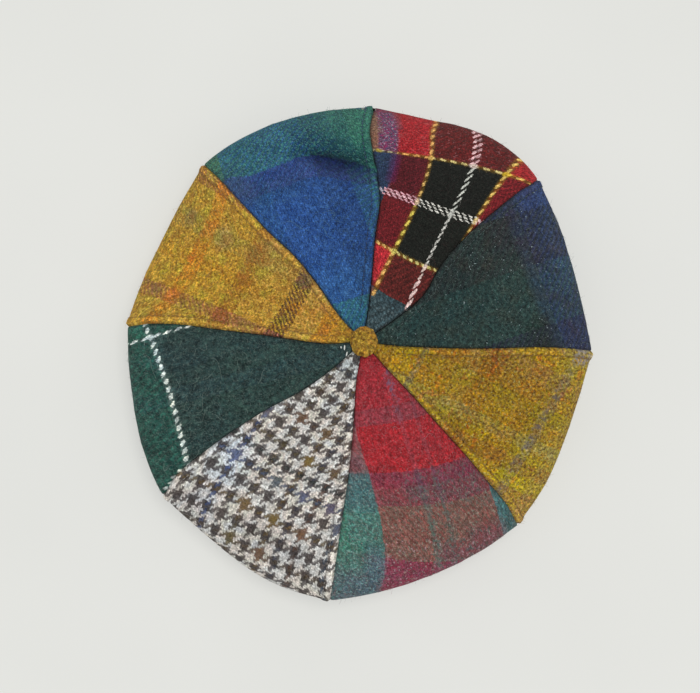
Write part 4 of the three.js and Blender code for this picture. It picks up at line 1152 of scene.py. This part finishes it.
for k, seam_row in enumerate(SEAMS):
    after, before = k, (k - 1) % 8  # the panels on the two sides of this seam
    reach_after, reach_before, owner = 6.0, 6.0, before
    if PANELS[after]["stitched"][0]:
        reach_after, reach_before, owner = 7.6, 1.4, before
    elif PANELS[before]["stitched"][1]:
        reach_after, reach_before, owner = 1.4, 7.6, after
    section = [line_at(shapes[before], 1, reach_before * x) for x in (1, 0.66, 0.33, 0.05)]
    section += [line_at(shapes[after], 0, reach_after * x) for x in (0.05, 0.33, 0.66, 1)]
    P = np.stack([q[0] for q in section], 1)
    N = unit(np.stack([q[1] for q in section], 1))
    upper_face, lower_face = P - (CLOTH + 0.1) * N, P - (CLOTH + 1.3) * N
    arc = np.concatenate([[0], np.cumsum(np.linalg.norm(np.diff(P[:, 3], axis=0), axis=1))])[:, None] * np.ones((1, 8))
    over = np.concatenate([[0], np.cumsum(np.linalg.norm(np.diff(P[90], axis=0), axis=1))])[None, :] * np.ones((181, 1))
    uv = np.tile(np.stack([over - 28.0, 60 + 0.2 * arc], -1).reshape(-1, 2), (2, 1))
    points = np.concatenate([upper_face.reshape(-1, 3), lower_face.reshape(-1, 3)])
    # the turned-in allowances are darkened all over: painted shade under the panels
    piece = make_mesh(
        f"seam_allowance_{seam_row['at']}", points, weld_grids(upper_face, lower_face), uv,
        dict(seam=np.full(len(points), 1.0), nap=np.zeros(len(points))), sharp=50,
    )
    piece.data.materials.append(MATERIALS[PANELS[owner]["slot"]])
    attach(piece, "root")

# ---------------------------------------------------------------- topstitching beside the seams
THREADS = {
    0: ("thread_dark_green", (62, 78, 78)),
    2: ("thread_navy", (44, 66, 104)),
    3: ("thread_mustard", (150, 112, 52)),
    5: ("thread_grey", (150, 144, 138)),
    7: ("thread_gold", (140, 106, 46)),
}
for p, (name, rgb) in THREADS.items():
    g, runs = shapes[p], []
    for side, d in enumerate((g["first"], g["second"])):
        if not PANELS[p]["stitched"][side]:
            continue
        path, normal = [], []
        for r in range(g["outer"].shape[0] - LIP_CELLS):
            if g["half"][r, 0] < TOPSTITCH_AT + 2.5:
                continue
            dist = d[r] if side == 0 else d[r][::-1]
            line, nor = (g["outer"][r], g["normal"][r]) if side == 0 else (g["outer"][r][::-1], g["normal"][r][::-1])
            path.append([np.interp(TOPSTITCH_AT, dist, line[:, x]) for x in range(3)])
            normal.append([np.interp(TOPSTITCH_AT, dist, nor[:, x]) for x in range(3)])
        runs.append(stitch_run(np.array(path), np.array(normal), STITCH_PITCH, STITCH_LENGTH, STITCH_THREAD, 0.0))
    paths = np.concatenate(runs)
    points, faces = tubes(paths, STITCH_THREAD * np.array([0.55, 0.9, 1, 1, 1, 0.9, 0.55]), 7)
    piece = make_mesh(f"topstitch_{PANELS[p]['slot']}", points, faces)
    piece.data.materials.append(thread_material(name, rgb))
    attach(piece, "root")

# ---------------------------------------------------------------- loose wool fibres that stand off the cloth
FIBRES = 1900
LONG_HAIRS = [26, 8, 14, 16, 46, 10, 20, 18]  # on each panel
for p, row in enumerate(PANELS):
    g = shapes[p]
    O, N, UV = g["outer"], g["normal"], g["uv"]
    rows = O.shape[0] - LIP_CELLS - 6
    area = np.linalg.norm(np.cross(O[1:rows, :-1] - O[: rows - 1, :-1], O[: rows - 1, 1:] - O[: rows - 1, :-1]), axis=2)
    weight = area.ravel() / area.sum()
    cell = rng.choice(len(weight), FIBRES, p=weight)
    ci, cj = cell // area.shape[1], cell % area.shape[1]
    root, nor, tip_uv = O[ci, cj], unit(N[ci, cj]), UV[ci, cj]
    tangent = unit(O[np.minimum(ci + 1, rows), cj] - root)
    cross = np.cross(nor, tangent)
    heading = rng.uniform(0, 2 * np.pi, FIBRES)
    go = np.cos(heading)[:, None] * tangent + np.sin(heading)[:, None] * cross
    aside = np.cross(nor, go)
    length = rng.uniform(1.4, 4.2, FIBRES)[:, None]
    lift = rng.uniform(0.1, 0.7, FIBRES)[:, None] ** 1.5
    curl = rng.uniform(-1.1, 1.1, FIBRES)[:, None]
    t = np.linspace(0, 1, 4)
    paths = np.stack(
        [root + go * length * x + nor * (0.02 + lift * np.sin(np.pi * min(1, 0.75 * x)) * 0.9) + aside * curl * x * x * length * 0.35 for x in t], 1
    )
    thick = rng.uniform(0.035, 0.06, FIBRES)[:, None] * np.array([1, 1, 0.9, 0.6])
    points, faces = tubes(paths, thick, 3)
    uv = np.repeat(tip_uv, 12, axis=0)
    # and a few long pale curly ones that lie on it
    count = LONG_HAIRS[p]
    span, t = rng.uniform(7, 20, count), np.linspace(0, 1, 12)
    heading = rng.uniform(0, 2 * np.pi, (count, 1)) + rng.uniform(-2.2, 2.2, (count, 1)) * t + rng.uniform(-1.6, 1.6, (count, 1)) * np.sin(2.6 * np.pi * t)
    cell = rng.choice(len(weight), count, p=weight)
    row_at, col_at = cell // area.shape[1], cell % area.shape[1]
    across_step = np.linalg.norm(O[:-1, 1:] - O[:-1, :-1], axis=2).mean(1)
    down_step = np.linalg.norm(O[1:rows, ACROSS // 2] - O[: rows - 1, ACROSS // 2], axis=1).mean()
    run = np.cumsum(np.cos(heading), 1) * span[:, None] / 12 / down_step
    aside = np.cumsum(np.sin(heading), 1) * span[:, None] / 12 / np.maximum(0.3, across_step[row_at])[:, None]
    fi, fj = np.clip(row_at[:, None] + run, 4, rows - 2), np.clip(col_at[:, None] + aside, 1, ACROSS - 2)
    i0, j0 = fi.astype(int), fj.astype(int)
    wi, wj = (fi - i0)[..., None], (fj - j0)[..., None]
    on = (O[i0, j0] * (1 - wi) + O[i0 + 1, j0] * wi) * (1 - wj) + (O[i0, j0 + 1] * (1 - wi) + O[i0 + 1, j0 + 1] * wi) * wj
    paths = on + unit(N[i0, j0]) * (0.1 + 0.35 * np.abs(np.sin(np.pi * t * 1.7)))[None, :, None]
    hair_points, hair_faces = tubes(paths, rng.uniform(0.05, 0.085, count)[:, None] * np.array([0.5, *[1.0] * 10, 0.5]), 3)
    faces = np.concatenate([faces, hair_faces + len(points)])
    uv = np.concatenate([uv, np.repeat(UV[i0, j0].reshape(-1, 2), 3, axis=0)])
    nap = np.concatenate([np.ones(len(points)), np.full(len(hair_points), 2.2)])
    points = np.concatenate([points, hair_points])
    piece = make_mesh(f"wool_nap_{row['slot']}", points, faces, uv, dict(seam=np.zeros(len(points)), nap=nap))
    piece.data.materials.append(MATERIALS[row["slot"]])
    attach(piece, "root")


# ---------------------------------------------------------------- button, band and peak
def revolve(profile, segments, centre, wobble):
    """A closed body of revolution with both ends on the axis; wobble(angle, share) shifts the radius and height."""
    m = len(profile)
    ring = []
    for k in range(1, m - 1):
        r, z = profile[k]
        a = 2 * np.pi * np.arange(segments) / segments
        dr, dz = wobble(a, k / (m - 1), r, z)
        ring.append(np.stack([centre[0] + (r + dr) * np.cos(a), centre[1] + (r + dr) * np.sin(a), z + dz], -1))
    points = [np.array([[*centre, profile[0][1]]]), *ring, np.array([[*centre, profile[-1][1]]])]
    flat = np.concatenate(points)
    faces = []
    s = np.arange(segments)
    s2 = (s + 1) % segments
    faces.append(np.stack([np.zeros_like(s), 1 + s2, 1 + s], -1))
    for k in range(m - 3):
        a, b = 1 + k * segments, 1 + (k + 1) * segments
        faces.append(np.stack([a + s, a + s2, b + s2], -1))
        faces.append(np.stack([a + s, b + s2, b + s], -1))
    last, end = 1 + (m - 3) * segments, len(flat) - 1
    faces.append(np.stack([last + s, last + s2, np.full_like(s, end)], -1))
    return flat, np.concatenate(faces)


def button_profile():
    rows = [(0.0, 58.6)]
    for r, z in ((3.0, 58.6), (4.4, 58.8), (4.5, 60.0), (4.6, 61.6), (5.6, 62.25), (7.2, 62.35)):
        rows.append((r, z))
    for t in np.linspace(-0.75, 1.0, 26):
        a = t * math.pi / 2
        rows.append((8.75 * max(0.0, math.cos(a)) ** 0.72 if t < 1 else 0.0, 64.6 + (3.7 if a > 0 else 2.1) * math.sin(a)))
    return rows


def button_wobble(a, share, r, z):
    # the cloth is gathered under the button, so its edge has soft pleats
    edge = ease(3.5, 8.0, r) * (1 - ease(64.5, 67.5, z))
    dr = edge * (0.16 * np.sin(8 * a + 0.6) + 0.12 * np.sin(13 * a + 2.0) + 0.1 * np.sin(5 * a + 1.0))
    dr = dr + ease(3, 8, r) * (-0.75 * np.sin(a - 1.5) ** 2 + 0.2) - ease(3, 8, r) * 0.3 * np.cos(a) ** 2
    dz = ease(62.4, 66.0, z) * (0.22 * np.sin(3 * a + 1.1) * r / 9 + 0.1 * np.sin(7 * a) * ease(2, 7, r))
    return dr, dz


centre = (CROWN_CENTRE[0] + 0.3, CROWN_CENTRE[1] + 0.1)
points, faces = revolve(button_profile(), 96, centre, button_wobble)
uv = np.stack([points[:, 0] - centre[0], points[:, 1] - centre[1] + (68 - points[:, 2]) * 0.6], -1) @ np.array([[0.84, 0.54], [-0.54, 0.84]])
# painted shade on the button's lower edge, where it sits on the crown
button = make_mesh("covered_button", points, faces, uv, dict(seam=1 - ease(62.2, 63.6, points[:, 2]), nap=np.zeros(len(points))))
button.data.materials.append(MATERIALS["button_cloth"])
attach(button, "root")
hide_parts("button")

# white tacking stitches hold the crown's point beside the button
top_points = np.concatenate([g["outer"][: TOP_CELLS // 3].reshape(-1, 3) for g in shapes])
tacks = []
for x, y, turn, length in ((-11.0, -3.4, 86, 3.2), (-9.7, -7.0, 78, 2.9), (-13.0, -3.2, 98, 0.9)):
    c, s = math.cos(turn * RAD), math.sin(turn * RAD)
    t = np.linspace(-0.5, 0.5, 7)
    px, py = CROWN_CENTRE[0] + x + c * length * t, CROWN_CENTRE[1] + y + s * length * t
    near = np.argmin((top_points[:, 0] - px[3]) ** 2 + (top_points[:, 1] - py[3]) ** 2)
    lift = np.array([-0.6, 0.1, 0.35, 0.42, 0.35, 0.1, -0.6])
    tacks.append(np.stack([px, py, top_points[near, 2] + lift], -1))
points, faces = tubes(np.array(tacks), 0.42 * np.array([0.5, 0.85, 1, 1, 1, 0.85, 0.5]), 8)
tack = make_mesh("tacking_stitches", points, faces)
tack.data.materials.append(thread_material("thread_white", (226, 232, 226)))
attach(tack, "root")


def band_ring():
    """The band: cloth folded over at its lower edge, a seam at the back, and a sewn upper edge."""
    around = 400
    a = 2 * np.pi * np.arange(around) / around - np.pi / 2
    h, w = BAND["height"], BAND["wall"]
    section = []  # (out from the inner face, height), anticlockwise from the inner lower edge
    for k in range(9):
        t = math.pi + k * math.pi / 8
        section.append((w / 2 + (w / 2) * math.cos(t), 1.5 + 1.5 * math.sin(t)))
    for z in np.linspace(2.4, h - 0.5, 26):
        section.append((w, z))
    section += [(w - 0.4, h - 0.05), (w / 2, h), (0.4, h - 0.05)]
    for z in np.linspace(h - 0.5, 2.4, 14):
        section.append((0.0, z))
    section = np.array(section)
    m = len(section)
    A = a[:, None] * np.ones((1, m))
    out, z = section[None, :, 0] * np.ones((around, 1)), section[None, :, 1] * np.ones((around, 1))
    outer_face = ease(w * 0.6, w, out)
    arc = (a + np.pi / 2)[:, None] * 93.0
    soft = 0.16 * lumps(arc / 14, z / 10, 301) + 0.05 * lumps(arc / 3.1, z / 3, 302)
    fold = -0.22 * np.exp(-(((z - 3.4) / 0.5) ** 2)) * (0.6 + 0.4 * np.cos(2 * np.pi * arc / STITCH_PITCH))
    back = np.exp(-((np.minimum(arc, 2 * np.pi * 93 - arc) / 0.8) ** 2))
    out2 = out + outer_face * (np.minimum(0, soft - 0.2) + fold - 0.8 * back)
    X = BAND["x"] + (BAND["inner_x"] + out2) * np.cos(A)
    Y = BAND["y"] + (BAND["inner_y"] + out2) * np.sin(A)
    P = np.stack([X, Y, z], -1)
    i, j = np.meshgrid(np.arange(around), np.arange(m), indexing="ij")
    i2, j2 = (i + 1) % around, (j + 1) % m
    q = np.stack([i * m + j, i2 * m + j, i2 * m + j2, i * m + j2], -1).reshape(-1, 4)
    faces = np.concatenate([q[:, [0, 1, 2]], q[:, [0, 2, 3]]])
    uv = np.stack([(arc * np.ones_like(z)) % 150 - 75, z + 20 * (1 - outer_face)], -1).reshape(-1, 2)
    # the fourth value returned is painted shade in the groove of the back seam
    return P.reshape(-1, 3), faces, uv, (0.8 * back * np.ones_like(z)).ravel(), a


points, faces, uv, shade, band_angles = band_ring()
band = make_mesh("head_band_cloth", points, faces, uv, dict(seam=shade, nap=np.zeros(len(points))), sharp=50)
band.data.materials.append(MATERIALS["band_cloth"])
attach(band, "root")
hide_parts("head_band")

fine = np.linspace(0, 2 * np.pi, 1500) - np.pi / 2 + 0.01
path = np.stack(
    [BAND["x"] + (BAND["inner_x"] + 2.78) * np.cos(fine), BAND["y"] + (BAND["inner_y"] + 2.78) * np.sin(fine), np.full_like(fine, 3.4)], -1
)
normal = np.stack([np.cos(fine), np.sin(fine), 0 * fine], -1)
points, faces = tubes(stitch_run(path, normal, STITCH_PITCH, STITCH_LENGTH, 0.2, 0.0), 0.2 * np.array([0.55, 0.9, 1, 1, 1, 0.9, 0.55]), 6)
band_stitch = make_mesh("band_edge_stitching", points, faces)
band_stitch.data.materials.append(thread_material("thread_band", (58, 66, 64)))
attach(band_stitch, "root")


def peak_point(share, t):
    """A point of the peak's middle surface: share runs from -1 to 1 around the band, t from the band to the edge."""
    angle = (90 + share * PEAK["half_angle"]) * RAD
    ix, iy = BAND["inner_x"] + BAND["wall"] + 0.55, BAND["inner_y"] + BAND["wall"] + 0.55
    rx, ry = BAND["x"] + ix * np.cos(angle), BAND["y"] + iy * np.sin(angle)
    nx, ny = np.cos(angle) / ix, np.sin(angle) / iy
    nl = np.hypot(nx, ny)
    depth = PEAK["end_depth"] + (PEAK["depth"] - PEAK["end_depth"]) * np.maximum(0, np.cos(np.pi / 2 * share)) ** 0.7
    x, y = rx + nx / nl * depth * t, ry + ny / nl * depth * t
    z = PEAK["rise"] + PEAK["arch"] * (1 - share**2) - PEAK["fall"] * t * depth / PEAK["depth"]
    return np.stack([x, y, z], -1), depth


def peak_shell():
    n, m = 192, 44
    share = np.linspace(-1, 1, n + 1)[:, None] * np.ones((1, m + 1))
    t = (np.linspace(0, 1, m + 1) ** 0.8)[None, :] * np.ones((n + 1, 1))
    mid, depth = peak_point(share, t)
    normal = grid_normals(mid, np.array([0, 0, 1.0]))
    from_edge = (1 - t) * depth
    half = PEAK["thick"] / 2 * (1 - 0.45 * t**4)
    # the cloth cover is thinner over the board and gathered a little at the sewn edge
    half = half * np.sqrt(np.clip(1 - (1 - np.clip(from_edge / 1.7, 0, 1)) ** 2, 0.02, 1))
    half = half * (0.35 + 0.65 * ease(0, 2.2, (1 - np.abs(share)) * 90 + 0.6))
    run = share * 95
    line = 0.2 * np.exp(-(((from_edge - 5.0) / 0.5) ** 2)) * (0.6 + 0.4 * np.cos(2 * np.pi * run / STITCH_PITCH))
    top = mid + normal * (half - line - 0.1 * np.clip(lumps(run / 9, t * depth / 8, 401), 0, 1) * ease(0, 3, from_edge))[..., None]
    low = mid - normal * (half - line - 0.08 * np.clip(lumps(run / 9, t * depth / 8, 402), 0, 1) * ease(0, 3, from_edge))[..., None]
    R, C = top.shape[:2]
    faces = weld_grids(top, low)
    u, v = run * 1.0, 60 + t * depth
    uv = np.tile(np.stack([u, v], -1).reshape(-1, 2), (2, 1))
    return np.concatenate([top.reshape(-1, 3), low.reshape(-1, 3)]), faces, uv, np.zeros(2 * R * C), top, normal, from_edge


points, faces, uv, shade, peak_top, peak_normal, from_edge = peak_shell()
peak = make_mesh("peak_cover", points, faces, uv, dict(seam=shade, nap=shade), sharp=60)
peak.data.materials.append(MATERIALS["peak_cloth"])
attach(peak, "root")
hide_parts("peak")

path, normal = [], []
for r in range(6, peak_top.shape[0] - 6):
    d = from_edge[r][::-1]
    if d[-1] < 6.5:
        continue
    path.append([np.interp(5.0, d, peak_top[r][::-1, x]) for x in range(3)])
    normal.append([np.interp(5.0, d, peak_normal[r][::-1, x]) for x in range(3)])
points, faces = tubes(stitch_run(np.array(path), np.array(normal), STITCH_PITCH, STITCH_LENGTH, 0.2, 0.0), 0.2 * np.array([0.55, 0.9, 1, 1, 1, 0.9, 0.55]), 6)
peak_stitch = make_mesh("peak_edge_stitching", points, faces)
peak_stitch.data.materials.append(thread_material("thread_peak", (58, 66, 64)))
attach(peak_stitch, "root")

# ---------------------------------------------------------------- table, light and camera
floor_mesh = bpy.data.meshes.new("table_top")
floor_mesh.from_pydata([(-3, -3, 0), (3, -3, 0), (3, 3, 0), (-3, 3, 0)], [], [(0, 1, 2, 3)])
floor = bpy.data.objects.new("table_top", floor_mesh)
bpy.context.scene.collection.objects.link(floor)
g = Graph("pale_table")
where = g.node("ShaderNodeTexCoord")
soft = g.noise(where.outputs["Object"], 6.0, 2.0, 0.5)
pale = g.ramp(g.span(soft, 0.3, 0.7), [(0, (150, 151, 148)), (1, (153, 154, 151))], "LINEAR")
g.link(pale, g.shader.inputs["Base Color"])
g.link(g.ramp(g.span(soft, 0.3, 0.7), [(0, (226, 226, 222)), (1, (228, 228, 224))], "LINEAR"), g.shader.inputs["Emission Color"])
g.shader.inputs["Emission Strength"].default_value = 0.62
g.shader.inputs["Roughness"].default_value = 0.9
g.shader.inputs["Specular IOR Level"].default_value = 0.1
floor_mesh.materials.append(g.material)

world = bpy.data.worlds.new("studio")
bpy.context.scene.world = world
world.use_nodes = True
world.node_tree.nodes["Background"].inputs["Color"].default_value = (0.97, 0.985, 1.0, 1.0)
world.node_tree.nodes["Background"].inputs["Strength"].default_value = 0.55

sun_data = bpy.data.lights.new("window_light", "SUN")
sun_data.energy = 1.35
sun_data.angle = 28 * RAD
sun_data.color = (1.0, 0.985, 0.955)
sun = bpy.data.objects.new("window_light", sun_data)
bpy.context.scene.collection.objects.link(sun)
sun.rotation_euler = (-10 * RAD, 9 * RAD, 0)

camera_data = bpy.data.cameras.new("camera")
camera = bpy.data.objects.new("camera", camera_data)
bpy.context.scene.collection.objects.link(camera)
camera.location = (-5.7 * MM, 4.5 * MM, 1.2)
camera.rotation_euler = (0, 0, 0)
camera_data.sensor_width = 36.0
camera_data.lens = 36.0 * (1.2 - 0.028) / 0.4214
bpy.context.scene.camera = camera
bpy.context.scene.view_settings.view_transform = "Standard"
